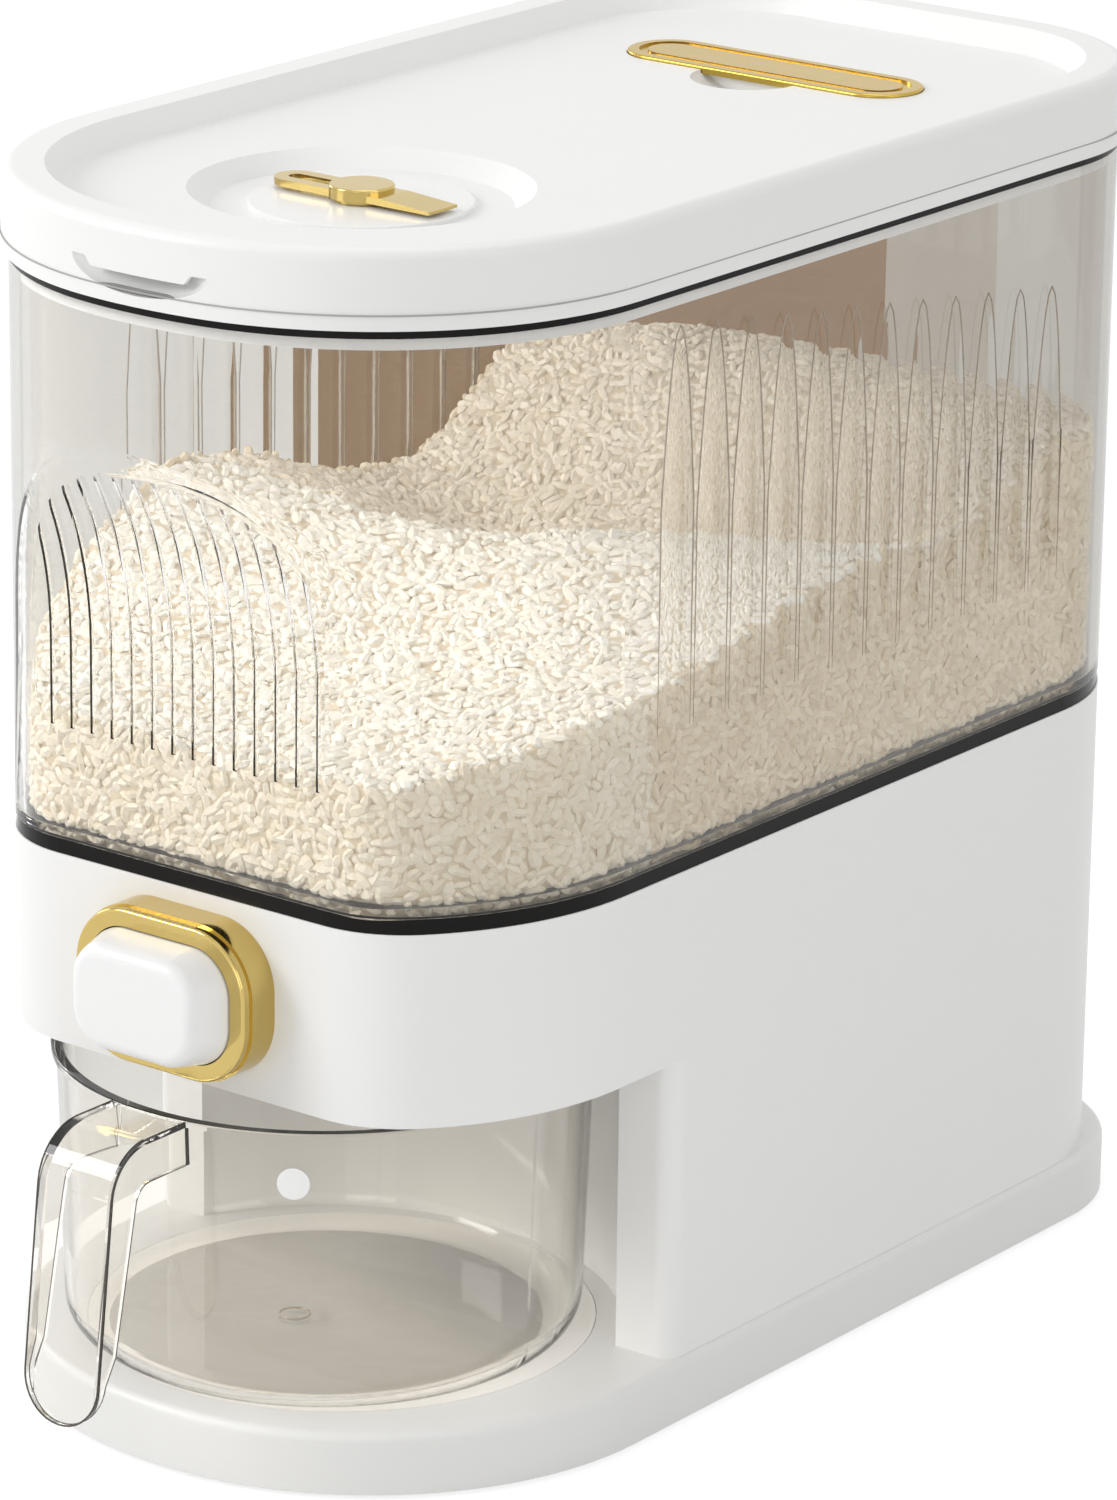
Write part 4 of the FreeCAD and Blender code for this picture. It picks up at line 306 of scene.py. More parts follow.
# %% Metals
def metal(name, light, dark, low, high, stretch=(1, 1, 1)):
    """A metal: two close tones and a spread of roughness, drawn out if it is brushed."""
    material, tree, shader, _ = new_finish(name)
    shader.inputs["Metallic"].default_value = 1.0
    cloud = place_noise(tree, 60, y=200)
    join(tree, blend_colours(tree, cloud, light, dark, y=200), shader.inputs["Base Color"])
    fine = place_noise(tree, 900, detail=3, y=-300, stretch=stretch)
    join(tree, spread(tree, fine, low, high), shader.inputs["Roughness"])
    bump(tree, shader, fine, 0.04, 0.0001)
    return material


gold_polished = metal("GoldPolished", (0.64, 0.49, 0.18), (0.57, 0.42, 0.14), 0.08, 0.14)
gold_satin = metal("GoldSatin", (0.57, 0.40, 0.085), (0.53, 0.365, 0.075), 0.2, 0.27,
                   stretch=(0.15, 1, 1))
steel = metal("Steel", (0.58, 0.58, 0.58), (0.5, 0.5, 0.5), 0.25, 0.35)
print("metals made")


# %% [markdown]
# ## Dress the parts
# Each part keeps its own mesh and only gets its finish here.

# %% Give each part its finish
FINISHES = {
    "base_plate": base_plastic, "housing_shell": white_plastic, "lid": white_plastic,
    "lid_frame": white_plastic, "dial_disc": dial_white, "button_cap": cap_white,
    "cup_pad": pad_plastic_painted_light, "gate_guide": inner_plastic, "hopper_funnel": inner_plastic,
    "gate_plate": inner_plastic, "desiccant_box": inner_plastic, "cup_dot": dot_white,
    "bin_shell": clear_bin, "cup_body": clear_cup, "cup_handle": clear_cup,
    "bin_gasket": black_rubber, "frame_seal": black_rubber, "foot_pads": grey_rubber,
    "lid_seal": silicone, "key_o_ring": black_rubber, "key_washer": inner_plastic,
    "button_bezel": gold_polished, "key_bow": gold_polished, "key_knob": gold_polished,
    "key_collar": gold_polished, "key_shaft": gold_polished, "desiccant_cover": gold_satin,
    "base_screws": steel, "guide_screws": steel, "cap_screw": steel,
    "return_spring": steel, "hinge_pin": steel, "key_clip": steel,
}
for name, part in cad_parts.items():
    part.data.materials.clear()
    part.data.materials.append(FINISHES[name])
print("finished parts:", len(FINISHES))


# %% [markdown]
# ## Edges of clear plastic
# The sharp edge of a clear moulding shows as a fine dark line, where it bends the light.
# These lines are painted shade, modelled as thin tubes: open curves with a bevel, all in
# one object, turned into a mesh.

# %% Finish and mesh of an edge
def painted_edge_shade(name, dark, light, alpha):
    """The finish of a fine line of painted shade along an edge of clear plastic."""
    finish, tree, shader, _ = new_finish(name)
    shade = place_noise(tree, 60, y=200)
    join(tree, blend_colours(tree, shade, dark, light, y=200), shader.inputs["Base Color"])
    shader.inputs["Roughness"].default_value = 0.2
    shader.inputs["Alpha"].default_value = alpha
    return finish


def tubes(name, radius, paths):
    """A mesh of tubes along paths of (x, y, z, thickness), with x, y, z in millimetres."""
    curve = bpy.data.curves.new(name, "CURVE")
    curve.dimensions = "3D"
    curve.bevel_depth, curve.bevel_resolution = radius, 1
    for path in paths:
        line = curve.splines.new("POLY")
        line.points.add(len(path) - 1)
        for point, (x, y, z, thickness) in zip(line.points, path):
            point.co = (x * MM, y * MM, z * MM, 1)
            point.radius = thickness
    made = bpy.data.objects.new(name, curve)
    scene.collection.objects.link(made)
    pick(made)
    bpy.ops.object.convert(target="MESH")
    return bpy.context.object


# %% [markdown]
# ## Edges of the flutes
# The lines of a flute run straight up its two sides and bend in to a point at the top. They
# lie on the two side walls of the bin, and are thinner where the flutes fade out at the foot.
# They are painted shade and painted highlight for the light that the flutes' edges bend.

# %% Flute edges
FLUTES, PITCH, FIRST, HALF = 12, 16.2, -55.2, 7.3  # how many, and where along the wall
TOP_TIP, TIP_FALL, POINT = 318, 2.2, 50  # tip of the first, drop to the next, length of a point
FOOT_EDGE, FULL_EDGE, FOOT_THICKNESS = 205, 250, 0.4


def flute_side(wall, index, side):
    """The path up one side of a flute and in to its tip."""
    y, tip = FIRST + PITCH * index, TOP_TIP - TIP_FALL * index
    shape = [(HALF, FOOT_EDGE), (HALF, FULL_EDGE), (HALF, tip - POINT)]
    shape += [(HALF * math.sqrt(1 - t), tip - POINT + POINT * t)
              for t in (0.25, 0.5, 0.7, 0.85, 0.95, 1.0)]
    return [(wall, y + side * out, z, FOOT_THICKNESS if z == FOOT_EDGE else 1.0)
            for out, z in shape]


low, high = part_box("bin_shell")
flute_shade_lines = tubes("FluteEdges", 0.00026, [
    flute_side(wall / MM, index, side)
    for wall in (low.x, high.x) for index in range(FLUTES) for side in (-1, 1)])
# Dark tan and pale: painted shade and painted highlight along the flutes.
edge_finish = painted_edge_shade("FluteEdge", (0.30, 0.22, 0.14), (0.56, 0.50, 0.42), 0.7)
flute_shade_lines.data.materials.append(edge_finish)
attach(flute_shade_lines, "dispenser")
print("flute edges:", len(flute_shade_lines.data.polygons), "faces")


# %% [markdown]
# ## Edges of the handle
# The lines of the cup's handle run along the arm, round the bend, down the grip and round
# its foot, and back up on the other side. The edge nearer to the cup does the same with a
# thinner line. Each path is written for one side and mirrored. They are painted shade for
# the light that the handle's rounded edges bend.

# %% Paths along the handle
GRIP_HALF, GRIP_FOOT, GRIP_END = 13, 24.5, 12.8  # half width, lower end, round of the end
FOOT_STEPS = 10


def bend(centre, radius, turn, steps=8):
    """Points of a bend that starts level and turns down towards the grip."""
    y, z = centre
    angles = [math.radians(90 + turn * step / steps) for step in range(steps + 1)]
    return [(GRIP_HALF, y + radius * math.cos(angle), z + radius * math.sin(angle))
            for angle in angles]


def round_foot(foot, lean):
    """Points round the grip's end: foot is its y at the tip, lean how far it goes per mm."""
    points = []
    for step in range(FOOT_STEPS + 1):
        angle = math.radians(90 * step / FOOT_STEPS)
        height = GRIP_END * (1 - math.sin(angle))
        points.append((GRIP_HALF - GRIP_END * (1 - math.cos(angle)), foot + lean * height,
                       GRIP_FOOT + height))
    return points


rim_point = (GRIP_HALF, -162.9, 103.6)  # where the arm leaves the cup's rim
arm_foot = (GRIP_HALF, -161.2, 91.1)  # where its lower edge leaves the wall
knee = (GRIP_HALF, -192, 44.5)  # where the grip starts to taper
outer_path = [rim_point, *bend((-177.5, 87.6), 16, 83.3), *round_foot(-201, 0.117)]
inner_path = [rim_point, arm_foot, *bend((-177.3, 85.1), 6, 78), knee,
              *round_foot(-198.8, 0.2)]
print("handle paths:", len(outer_path), "and", len(inner_path), "points on a side")


# %% Edges of the handle
def both_sides(path, thickness):
    """A path down one side of the handle and back up the other."""
    whole = path + [(-x, y, z) for x, y, z in reversed(path)]
    return [(*place, thickness) for place in whole]


handle_shade_lines = tubes("HandleEdges", 0.0003,
                     [both_sides(outer_path, 1.0), both_sides(inner_path, 0.6)])
# Near black: painted shade along the handle's edges.
handle_shade_lines.data.materials.append(
    painted_edge_shade("HandleShadeLine", (0.03, 0.025, 0.02), (0.10, 0.08, 0.06), 0.85))
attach(handle_shade_lines, "cup")
print("handle edges:", len(handle_shade_lines.data.polygons), "faces")


# %% [markdown]
# ## Copies of parts
# Some pieces start from a part of the construction model. The part itself is left alone,
# and a free copy of it is merged into one closed mesh.

# %% Copy of a part
def merged_copy(name):
    """A free copy of a part, with its loose triangles merged."""
    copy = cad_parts[name].copy()
    copy.data = copy.data.copy()
    copy.parent = None
    for key in list(copy.keys()):
        del copy[key]
    scene.collection.objects.link(copy)
    edit_whole(copy, bpy.ops.mesh.remove_doubles, threshold=0.000005)
    return copy


# %% [markdown]
# ## Lip of the seal
# The seal under the frame bulges out a little where it is pressed, and shows as a black
# line round the bin. It is a copy of the seal, made taller and a hair wider.

# %% Seal lip
LIP_HEIGHT, LIP_OUT = 0.0024, 0.0003
seal_low, seal_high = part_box("frame_seal")
seal_middle = (seal_low + seal_high) / 2
seal_reach = (seal_high - seal_low) / 2
seal_height = seal_high.z - seal_low.z
lip = merged_copy("frame_seal")
for vertex in lip.data.vertices:
    vertex.co.x *= 1 + LIP_OUT / seal_reach.x
    vertex.co.y = seal_middle.y + (vertex.co.y - seal_middle.y) * (1 + LIP_OUT / seal_reach.y)
    vertex.co.z = seal_high.z - (seal_high.z - vertex.co.z) * LIP_HEIGHT / seal_height
lip.name = lip.data.name = "SealLip"
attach(lip, "dispenser")
print("seal lip:", len(lip.data.polygons), "faces")


# %% [markdown]
# ## Return spring
# The spring behind the button shortens as the button goes in. A copy of it, with its own
# mesh, stands in for the part, which is hidden.

# %% Return spring
spring = merged_copy("return_spring")
spring.name = spring.data.name = "ReturnSpring"
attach(spring, "dispenser")
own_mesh(spring)
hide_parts("return_spring")


# %% [markdown]
# ## Shadow in the seam of the lid
# Where the lid closes on its frame a fine grey line runs round: the shadow in the gap. It is
# painted shadow, a thin grey ring at the lid's lower edge, made from a copy of the seal, and
# it turns with the lid.

# %% Lid seam
SEAM_HEIGHT, SEAM_OUT = 0.0004, 0.00005
lid_low, lid_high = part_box("lid")
lid_reach = (lid_high - lid_low) / 2
seam_shadow = merged_copy("frame_seal")
for vertex in seam_shadow.data.vertices:
    vertex.co.x *= (lid_reach.x + SEAM_OUT) / seal_reach.x
    vertex.co.y = seal_middle.y + (vertex.co.y - seal_middle.y) * (
        lid_reach.y + SEAM_OUT) / seal_reach.y
    vertex.co.z = lid_low.z + SEAM_HEIGHT * (vertex.co.z - seal_low.z) / seal_height
seam_shadow.name = seam_shadow.data.name = "LidSeam"
seam_shadow.data.materials.clear()
# A grey of painted shadow for the gap under the lid.
seam_shadow.data.materials.append(
    moulded("SeamShade", (0.42, 0.415, 0.40), (0.38, 0.375, 0.36), 0.5, 0.6))
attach(seam_shadow, "lid_unit")
print("lid seam:", len(seam_shadow.data.polygons), "faces")


# %% [markdown]
# ## Gate mark
# A fine ring stands on the floor of the cup, where the plastic was let into the mould.

# %% Gate mark
CUP_FLOOR = 0.0031  # how far the mark stands above the underside of the cup
cup_low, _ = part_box("cup_body")
bpy.ops.mesh.primitive_torus_add(
    major_segments=32, minor_segments=6, major_radius=0.0043, minor_radius=0.0003,
    location=(-0.004, -0.096, cup_low.z + CUP_FLOOR))
mark = bpy.context.object
settle(mark, "GateMark")
mark.data.materials.append(edge_finish)
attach(mark, "cup")
print("gate mark at", round(cup_low.z + CUP_FLOOR, 4))


# %% [markdown]
# ## The heap of rice
# The rice lies against the clear walls and rises in two mounds, one at the left and one
# across the back. Its top is a smooth sheet through the heights below. The front plateau
# ends in a crest, behind which the heap drops before it rises again.

# %% Heights of the heap
HEAP = [  # across, along, height, in millimetres
    (92, 190, 238), (92, 143, 245), (92, 100, 236), (92, 50, 233), (92, 2, 228),
    (92, -44, 219), (90, -88, 216), (73, -146, 204), (0, 190, 240), (0, 120, 257),
    (-50, 120, 257), (50, 115, 256), (0, 66, 222), (50, 84, 232), (12, 18, 232),
    (55, 37, 233), (-31, -8, 232), (-44, 38, 214), (-92, 190, 238), (-92, 157, 243),
    (-92, 107, 248), (-92, 73, 229), (-92, 22, 231), (-92, -19, 244), (-92, -54, 246),
    (-88, -116, 213), (-60, -150, 204), (0, -50, 219), (0, -110, 208), (0, -155, 201),
    (45, -60, 216), (0, -22, 227),
]
ROUNDNESS, SLACK = 12, 1.0  # how softly the sheet bends, and how closely it keeps to HEAP
known = np.array(HEAP, float)
heap_middle = known[:, 2].mean()


def pull(distance):
    """How a known height works over a distance: round close by, and straight far off."""
    return np.sqrt(distance ** 2 + ROUNDNESS ** 2)


between = np.hypot(known[:, None, 0] - known[None, :, 0], known[:, None, 1] - known[None, :, 1])
weights = np.linalg.solve(pull(between) + SLACK * np.eye(len(known)), known[:, 2] - heap_middle)
print("heights known:", len(known))


# %% Height at any place
CREST = ((-40, -12), (92, 56))  # its two ends, across and along
CREST_DROP = 17
LEFT_END, LEFT_FADE, RIGHT_END, RIGHT_FADE = -52, 24, 90, 14  # where the drop fades out
NEAR_FADE, FAR_END, FAR_FADE = 9, 48, 30  # the same, behind the crest


def ramp(value, length):
    """0 below 0, 1 beyond the length, and straight between."""
    return np.clip(value / length, 0, 1)


def behind_crest(x, y):
    """How far a point lies behind the line of the crest, in millimetres."""
    (x0, y0), (x1, y1) = CREST
    return ((y / MM - y0) * (x1 - x0) - (x / MM - x0) * (y1 - y0)) / math.hypot(
        x1 - x0, y1 - y0)


def heap_height(x, y):
    """Height of the heap at a place, all in metres."""
    far = np.hypot(known[:, 0] - x / MM, known[:, 1] - y / MM)
    behind = behind_crest(x, y)
    across = ramp(x / MM - LEFT_END, LEFT_FADE) * ramp(RIGHT_END - x / MM, RIGHT_FADE)
    along = ramp(behind, NEAR_FADE) * ramp(FAR_END - behind, FAR_FADE)
    return (heap_middle + pull(far) @ weights - CREST_DROP * along * across) * MM


print("heap at the middle:", round(heap_height(0, 0) / MM), "mm")


# %% [markdown]
# The block under the top is trimmed to the inside of the bin with a Boolean, so it follows
# the hollow in the front. Then it is remeshed evenly, roughened a little and drawn in by
# half a grain, to leave room for the grains.

# %% Block of rice
ROOM = 0.0012  # the block stops this far inside the wall's outer face
FOOT = 0.1636  # underside of the block
low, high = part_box("bin_shell")
bpy.ops.mesh.primitive_grid_add(x_subdivisions=54, y_subdivisions=96, size=1,
                                location=(0, (low.y + high.y) / 2, 0))
rice = bpy.context.object
rice.scale = (high.x - low.x - 2 * ROOM, high.y - low.y - 2 * ROOM, 1)
settle(rice, "RiceBed")
for vertex in rice.data.vertices:
    vertex.co.z = heap_height(vertex.co.x, vertex.co.y)
edit_whole(rice, bpy.ops.mesh.extrude_region_move,
           TRANSFORM_OT_translate={"value": (0, 0, -0.12)})
for vertex in rice.data.vertices:
    if vertex.select:  # the copy that was pulled down is still selected
        vertex.co.z = FOOT
edit_whole(rice, bpy.ops.mesh.normals_make_consistent, inside=False)
print("block of rice:", len(rice.data.polygons), "faces")


# %% Trim the block to the bin
def keep_largest(thing):
    """Keep only the biggest island of a mesh."""
    edit_whole(thing, bpy.ops.mesh.separate, type="LOOSE")
    islands = sorted(bpy.context.selected_objects, key=lambda o: -len(o.data.polygons))
    for island in islands[1:]:
        bpy.data.objects.remove(island)
    return islands[0]


shell = merged_copy("bin_shell")
apply(rice, "BOOLEAN", operation="DIFFERENCE", solver="EXACT", object=shell)
bpy.data.objects.remove(shell)
rice = keep_largest(rice)
print("trimmed to the bin:", len(rice.data.polygons), "faces")

# %% Surface of the block
VOXEL, LUMP_SIZE, LUMP_DEPTH, HALF_GRAIN = 0.0026, 0.007, 0.0016, 0.0015
apply(rice, "REMESH", mode="VOXEL", voxel_size=VOXEL)
lumps = bpy.data.textures.new("Lumps", "CLOUDS")
lumps.noise_scale = LUMP_SIZE
apply(rice, "DISPLACE", texture=lumps, texture_coords="GLOBAL", strength=LUMP_DEPTH,
      mid_level=1.0)
apply(rice, "DISPLACE", strength=-HALF_GRAIN, mid_level=0.0)
settle(rice, "RiceBed")
print("rice bed:", len(rice.data.polygons), "faces")


# %% [markdown]
# ## Grains
# A grain is a sphere with few sides, drawn out to a short, plump ellipsoid. Thousands of
# them are scattered over the bed by a Geometry Nodes modifier: points a grain's width
# apart, each with a grain laid flat on the surface and turned at random. A number stored
# on each grain gives it its own tone.

# %% One grain
GRAIN_SIZE = (0.0031, 0.0018, 0.0014)  # half its length, width and thickness
bpy.ops.mesh.primitive_uv_sphere_add(segments=6, ring_count=4, radius=1)
grain = bpy.context.object
grain.rotation_euler = (0, math.radians(90), 0)
settle(grain, "Grain")
grain.scale = GRAIN_SIZE
settle(grain, "Grain")
edit_whole(grain, bpy.ops.mesh.faces_shade_flat)
print("a grain:", len(grain.data.polygons), "faces")


# %% Helpers for the scatter
def live(sockets, *names):
    """The sockets in use among these names; a node keeps one of each name per data type."""
    return [socket for socket in sockets if socket.enabled and socket.name in names]


def random_number(tree, seed, low=0.0, high=1.0, x=0, y=0):
    """A random number for each grain; returns its socket."""
    draw = node(tree, "FunctionNodeRandomValue", x, y, data_type="FLOAT", Seed=seed)
    low_end, high_end = live(draw.inputs, "Min", "Max")
    low_end.default_value, high_end.default_value = low, high
    return live(draw.outputs, "Value")[0]


def random_vector(tree, seed, low, high, x=0, y=0):
    """Three random numbers for each grain; returns their socket."""
    draw = node(tree, "FunctionNodeRandomValue", x, y, data_type="FLOAT_VECTOR", Seed=seed)
    draw.inputs[0].default_value, draw.inputs[1].default_value = low, high
    return draw.outputs[0]


# %% Points, turns and depths
MOST_POINTS = 900000  # a square metre, before those that lie too close are dropped
SMALLEST, LARGEST = (0.60, 0.70, 0.70), (1.15, 1.2, 1.15)


def scatter_points(tree, geometry, where, seed, spacing):
    """Points on the faces that carry a mark; returns the node."""
    marked = node(tree, "GeometryNodeInputNamedAttribute", -900, -200, data_type="BOOLEAN",
                  Name=where)
    points = node(tree, "GeometryNodeDistributePointsOnFaces", -650, 0,
                  distribute_method="POISSON", Distance_Min=spacing,
                  Density_Max=MOST_POINTS, Seed=seed)
    join(tree, geometry, points.inputs["Mesh"])
    join(tree, marked.outputs["Attribute"], points.inputs["Selection"])
    return points


def random_turn(tree, points, seed, tilt):
    """Each point's turn: flat on the surface, spun at random and tilted a little."""
    turn_by = random_vector(tree, seed, (-2 * tilt, -tilt, -math.pi),
                            (2 * tilt, tilt, math.pi), -650, -300)
    to_turn = node(tree, "FunctionNodeEulerToRotation", -450, -300)
    turned = node(tree, "FunctionNodeRotateRotation", -250, -200, rotation_space="LOCAL")
    join(tree, turn_by, to_turn.inputs[0])
    join(tree, points.outputs["Rotation"], turned.inputs[0])
    join(tree, to_turn.outputs[0], turned.inputs[1])
    return turned.outputs[0]


def random_depth(tree, points, seed, depth):
    """The points, each sunk or raised along its normal by up to the depth or half of it."""
    along = node(tree, "ShaderNodeVectorMath", -450, 300, operation="SCALE")
    join(tree, points.outputs["Normal"], along.inputs[0])
    join(tree, random_number(tree, seed, -depth, depth / 2, -650, 300), along.inputs["Scale"])
    shift = node(tree, "GeometryNodeSetPosition", -250, 200)
    join(tree, points.outputs["Points"], shift.inputs["Geometry"])
    join(tree, along.outputs[0], shift.inputs["Offset"])
    return shift.outputs["Geometry"]


# %% Scatter
def scatter_tree(where, seed, spacing, tilt, depth):
    """A node group that lays grains on the faces marked by an attribute."""
    tree = bpy.data.node_groups.new("Scatter_" + where, "GeometryNodeTree")
    for way in ("INPUT", "OUTPUT"):
        tree.interface.new_socket("Geometry", in_out=way, socket_type="NodeSocketGeometry")
    start = node(tree, "NodeGroupInput", -900, 0)
    end = node(tree, "NodeGroupOutput", 1300, 0)
    points = scatter_points(tree, start.outputs[0], where, seed, spacing)
    shape = node(tree, "GeometryNodeObjectInfo", -250, -600)
    shape.inputs["Object"].default_value = grain
    lay = node(tree, "GeometryNodeInstanceOnPoints", 0, 0)
    join(tree, random_depth(tree, points, seed + 4, depth), lay.inputs["Points"])
    join(tree, shape.outputs["Geometry"], lay.inputs["Instance"])
    join(tree, random_turn(tree, points, seed + 1, tilt), lay.inputs["Rotation"])
    join(tree, random_vector(tree, seed + 2, SMALLEST, LARGEST, -250, -400),
         lay.inputs["Scale"])
    store = node(tree, "GeometryNodeStoreNamedAttribute", 500, 0, data_type="FLOAT",
                 domain="INSTANCE", Name="tone")
    join(tree, lay.outputs["Instances"], store.inputs["Geometry"])
    join(tree, random_number(tree, seed + 3, x=250, y=-300), live(store.inputs, "Value")[0])
    real = node(tree, "GeometryNodeRealizeInstances", 750, 0)
    join(tree, store.outputs["Geometry"], real.inputs["Geometry"])
    join(tree, real.outputs["Geometry"], end.inputs[0])
    return tree


# %% Regions of the bed
def mark_faces(thing, name, test):
    """Store on each face whether it passes a test of its middle and normal."""
    marks = thing.data.attributes.new(name, "BOOLEAN", "FACE")
    marks.data.foreach_set("value", [bool(test(face.center, face.normal))
                                     for face in thing.data.polygons])


STEEP, UNDERSIDE = 0.45, -0.6  # a face's upward share where the sides start and end
RIGHT_FROM, SIDES_FROM = 0.02, -0.06  # x where the right side starts, y where the front ends
BACK_FROM = 3  # millimetres behind the crest


def is_top(normal):
    """Whether a face looks up."""
    return normal.z > STEEP


def is_side(normal):
    """Whether a face looks outwards."""
    return UNDERSIDE < normal.z <= STEEP


# The regions also set where painted shade goes: all but the front top get darker copies of the
# rice colour.
REGIONS = {
    "TopFront": lambda c, n: is_top(n) and behind_crest(c.x, c.y) < BACK_FROM,
    "TopBack": lambda c, n: is_top(n) and behind_crest(c.x, c.y) >= BACK_FROM,
    "SideRight": lambda c, n: is_side(n) and c.x > RIGHT_FROM and c.y > SIDES_FROM,
    "SideFront": lambda c, n: is_side(n) and c.y <= SIDES_FROM,
    "SideLeft": lambda c, n: is_side(n) and c.x <= RIGHT_FROM and c.y > SIDES_FROM,
}
for region, test in REGIONS.items():
    mark_faces(rice, region, test)
print("regions:", list(REGIONS))

# %% Layers of grains
SPACING = 0.0024
ON_TOP, AT_WALL = (0.4, 0.0009), (0.25, 0.0006)  # tilt and depth; a wall lays grains flatter
grains = []
for number, region in enumerate(REGIONS):
    tilt, depth = ON_TOP if region.startswith("Top") else AT_WALL
    layer = rice.copy()
    layer.data = rice.data.copy()
    scene.collection.objects.link(layer)
    apply(layer, "NODES", node_group=scatter_tree(region, 10 * number, SPACING, tilt, depth))
    layer.name = layer.data.name = "Rice" + region
    grains.append(layer)
    print(layer.name, "triangles:", sum(len(f.vertices) - 2 for f in layer.data.polygons))
bpy.data.objects.remove(grain)


# %% [markdown]
# ## Finish of the rice
# Polished rice is a warm white. Its tone shifts a little from grain to grain, and the
# block under the grains is darker, because light is lost between them, which is painted
# shade. The grains behind the crest, in front and at the walls take darker, browner copies
# of that white, which are painted shade too.

# %% Rice colours
def rice_finish(name, light, dark, from_grain=True):
    """Rice between two tones, which follow each grain's own number or a noise."""
    material, tree, shader, _ = new_finish(name)
    if from_grain:
        tone = node(tree, "ShaderNodeAttribute", -900, 200, attribute_name="tone")
        factor = tone.outputs["Fac"]
    else:
        factor = place_noise(tree, 300, y=200)
    join(tree, blend_colours(tree, factor, light, dark, y=200), shader.inputs["Base Color"])
    fine = place_noise(tree, 900, y=-300)
    join(tree, spread(tree, fine, 0.35, 0.5), shader.inputs["Roughness"])
    bump(tree, shader, fine, 0.15, 0.0003)
    return material


top_finish = rice_finish("RiceTop", (0.91, 0.88, 0.81), (0.88, 0.83, 0.73))
# Painted shade: darker, browner copies of the top's white, behind the crest, in front and at
# the walls.
shaded_back_finish = rice_finish("RiceBackPaintedShade", (0.90, 0.825, 0.70), (0.83, 0.74, 0.60))
shaded_front_finish = rice_finish("RiceFrontPaintedShade", (0.91, 0.84, 0.71), (0.83, 0.745, 0.59))
shaded_side_finish = rice_finish("RiceWallPaintedShade", (0.86, 0.76, 0.59), (0.76, 0.64, 0.46))
bed_finish = rice_finish("RiceBedding", (0.82, 0.73, 0.59), (0.62, 0.50, 0.34),
                         from_grain=False)
RICE_FINISHES = {
    "RiceBed": bed_finish, "RiceTopFront": top_finish, "RiceTopBack": shaded_back_finish,
    "RiceSideRight": shaded_side_finish, "RiceSideFront": shaded_front_finish, "RiceSideLeft": shaded_side_finish,
}
for piece in (rice, *grains):
    piece.data.materials.clear()
    piece.data.materials.append(RICE_FINISHES[piece.name])
    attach(piece, "dispenser")
print("rice pieces:", list(RICE_FINISHES))


# %% [markdown]
# ## Studio
# The dispenser stands on a white floor before a white background. The floor glows for the
# eye and is also lit, so it is white where the light falls and keeps a soft shadow under
# the plinth. A white card in front is there for the gold to mirror.

# %% Helpers for the studio
def seen_directly(tree, x=-600, y=300):
    """1 for rays from the eye, by sight, mirror or glass, and 0 for the rest."""
    path = node(tree, "ShaderNodeLightPath", x, y)
    first = node(tree, "ShaderNodeMath", x + 200, y, operation="MAXIMUM")
    second = node(tree, "ShaderNodeMath", x + 400, y, operation="MAXIMUM")
    join(tree, path.outputs["Is Camera Ray"], first.inputs[0])
    join(tree, path.outputs["Is Glossy Ray"], first.inputs[1])
    join(tree, first.outputs[0], second.inputs[0])
    join(tree, path.outputs["Is Transmission Ray"], second.inputs[1])
    return second.outputs[0]


def even_grey(level):
    """The colour that is as bright in all three channels."""
    return (level, level, level, 1)


# %% Floor
FLOOR_GLOW, FLOOR_FAINT, FLOOR_MATTE = 0.80, 0.3, 0.8
floor_finish = bpy.data.materials.new("Floor")
tree, output = bare_tree(floor_finish, "ShaderNodeOutputMaterial", 800)
matte = node(tree, "ShaderNodeBsdfDiffuse", 0, -200, Color=even_grey(FLOOR_MATTE))
faint = node(tree, "ShaderNodeBsdfDiffuse", 0, 0, Color=even_grey(FLOOR_FAINT))
glow = node(tree, "ShaderNodeEmission", 0, 150, Color=even_grey(1), Strength=FLOOR_GLOW)
both = node(tree, "ShaderNodeAddShader", 250, 100)
pick_one = node(tree, "ShaderNodeMixShader", 550, 0)
join(tree, glow.outputs[0], both.inputs[0])
join(tree, faint.outputs[0], both.inputs[1])
join(tree, seen_directly(tree), pick_one.inputs[0])
join(tree, matte.outputs[0], pick_one.inputs[1])
join(tree, both.outputs[0], pick_one.inputs[2])
join(tree, pick_one.outputs[0], output.inputs["Surface"])

bpy.ops.mesh.primitive_plane_add(size=30, location=(0, 0, -0.0002))
floor = bpy.context.object
floor.name = "Floor"
floor.data.materials.append(floor_finish)
print("floor:", floor.dimensions.x, "m wide")

# %% Background
ROOM_LIGHT, BACKGROUND = 0.58, 1.0  # what lights the object, and what the eye sees
world = bpy.data.worlds.new("Studio")
scene.world = world
tree, output = bare_tree(world, "ShaderNodeOutputWorld", 600)
sky = node(tree, "ShaderNodeBackground", 300, 0, Color=even_grey(1))
level = node(tree, "ShaderNodeMapRange", 50, 0, To_Min=ROOM_LIGHT, To_Max=BACKGROUND)
join(tree, seen_directly(tree), level.inputs["Value"])
join(tree, level.outputs["Result"], sky.inputs["Strength"])
join(tree, sky.outputs[0], output.inputs["Surface"])
print("room light:", ROOM_LIGHT)


# %% [markdown]
# A row of boards stands behind the dispenser and to its left. They glow, though they are
# no lamps, and only rays through clear plastic see them, so the far walls of the bin show
# brown and grey tones and the white background stays white.

# %% Boards
BOARD_TOP = 0.36


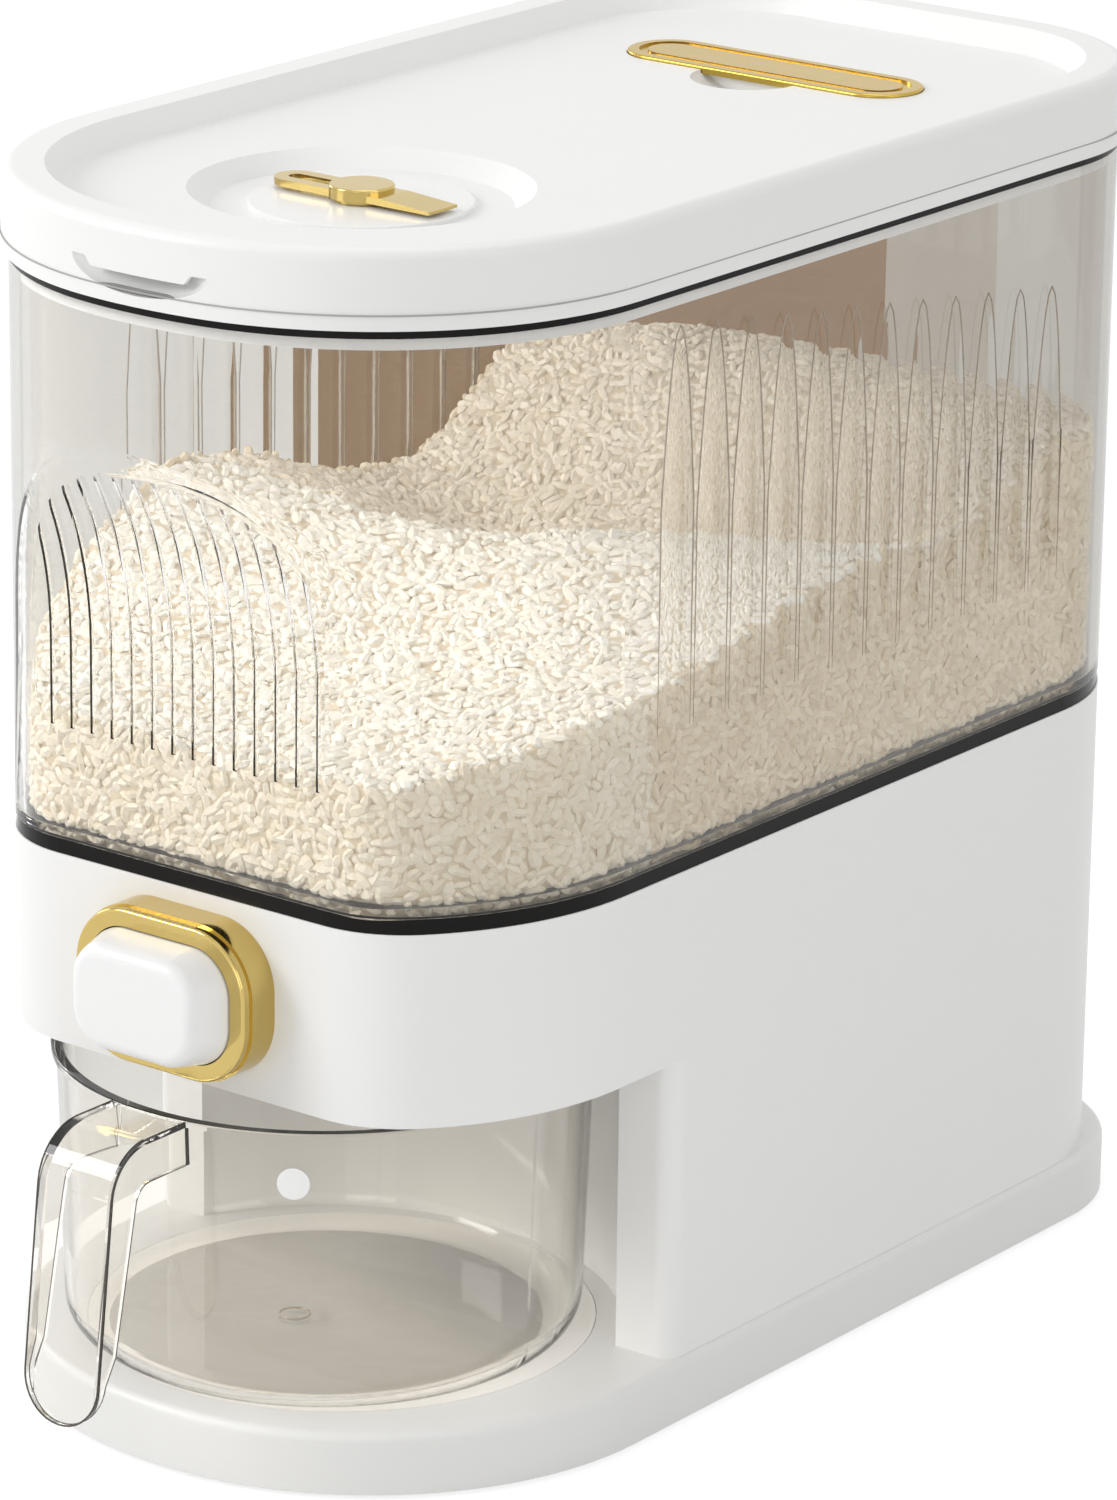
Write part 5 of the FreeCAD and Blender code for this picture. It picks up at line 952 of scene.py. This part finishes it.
def board(name, start, end, low, high, colour, strength, seen_by):
    """An upright glowing board between two points on the floor, seen by one kind of ray."""
    (x0, y0), (x1, y1) = start, end
    bpy.ops.mesh.primitive_plane_add(size=1)
    made = bpy.context.object
    made.scale = (math.hypot(x1 - x0, y1 - y0), high - low, 1)
    made.rotation_euler = (math.radians(90), 0, math.atan2(y1 - y0, x1 - x0))
    made.location = ((x0 + x1) / 2, (y0 + y1) / 2, (low + high) / 2)
    settle(made, name)
    finish = bpy.data.materials.new(name)
    tree, output = bare_tree(finish, "ShaderNodeOutputMaterial", 400)
    light = node(tree, "ShaderNodeEmission", 200, 0, Strength=strength)
    streaks = place_noise(tree, 18, stretch=(1, 1, 0.15))
    darker = [0.8 * part for part in colour]
    join(tree, blend_colours(tree, streaks, colour, darker), light.inputs["Color"])
    join(tree, light.outputs[0], output.inputs["Surface"])
    made.data.materials.append(finish)
    for way in ("camera", "diffuse", "glossy", "transmission", "shadow", "volume_scatter"):
        setattr(made, "visible_" + way, way == seen_by)


BROWN, TAN = (0.265, 0.14, 0.045), (0.47, 0.42, 0.36)
PALE, GREY = (0.88, 0.88, 0.86), (0.58, 0.56, 0.52)
BACKS = [  # what shows through the clear walls, from the front left round to the back right
    ("PaleLeft", (-0.14, -0.12), (-0.14, 0.066), PALE),
    ("BrownLeft", (-0.14, 0.066), (-0.14, 0.25), BROWN),
    ("BrownBack", (-0.14, 0.25), (-0.052, 0.25), BROWN),
    ("TanBack", (-0.052, 0.25), (-0.01, 0.25), TAN),
    ("GreyBack", (-0.01, 0.25), (0.16, 0.25), GREY),
]
for name, start, end, colour in BACKS:
    board(name, start, end, 0.0, BOARD_TOP, colour, 1.0, "transmission")
board("WhiteCard", (-0.54, -0.17), (0.09, -0.62), 0.08, 0.27, (1, 1, 1), 1.4, "glossy")
print("boards:", [name for name, *_ in BACKS] + ["WhiteCard"])


# %% [markdown]
# ## Lamps
# Five soft lamps stand round the dispenser. Two small ones are inside it, where no ray from
# the eye meets them: one under the lid lights the rice, and one under the ceiling of the
# bay lights the floor of the cup.

# %% Lamps
def softbox(name, place_at, aim, size, power, shape="SQUARE"):
    """An area lamp that looks at a point."""
    lamp_data = bpy.data.lights.new(name, "AREA")
    lamp_data.shape = shape
    lamp_data.size, lamp_data.energy = size, power
    lamp = bpy.data.objects.new(name, lamp_data)
    scene.collection.objects.link(lamp)
    lamp.location = place_at
    lamp.rotation_mode = "QUATERNION"
    lamp.rotation_quaternion = (Vector(aim) - Vector(place_at)).to_track_quat("-Z", "Y")
    return lamp


softbox("Key", (-1.3, -1.5, 1.35), (0, 0, 0.25), 0.9, 19)
softbox("Overhead", (0, 0.2, 2.2), (0, 0, 0.2), 1.2, 7)
softbox("Front", (0.6, -1.9, 0.3), (0, 0, 0.15), 0.8, 3.5)
softbox("Side", (1.9, -0.3, 0.8), (0, 0, 0.2), 1.0, 4.3)
softbox("Left", (-1.9, 0.3, 0.75), (0, -0.02, 0.23), 0.5, 6)
in_bin = softbox("UnderLid", (0.014, -0.075, 0.318), (0.025, -0.05, 0.2), 0.13, 0.055, "DISK")
in_bay = softbox("UnderCeiling", (0, -0.10, 0.106), (0, -0.09, 0.02), 0.1, 0.023, "DISK")
for lamp in (in_bin, in_bay):
    for way in ("camera", "glossy", "transmission"):
        setattr(lamp, "visible_" + way, False)

# %% Colours as they are written
scene.view_settings.view_transform = "Standard"
scene.cycles.transparent_max_bounces = 24
print("view transform:", scene.view_settings.view_transform)
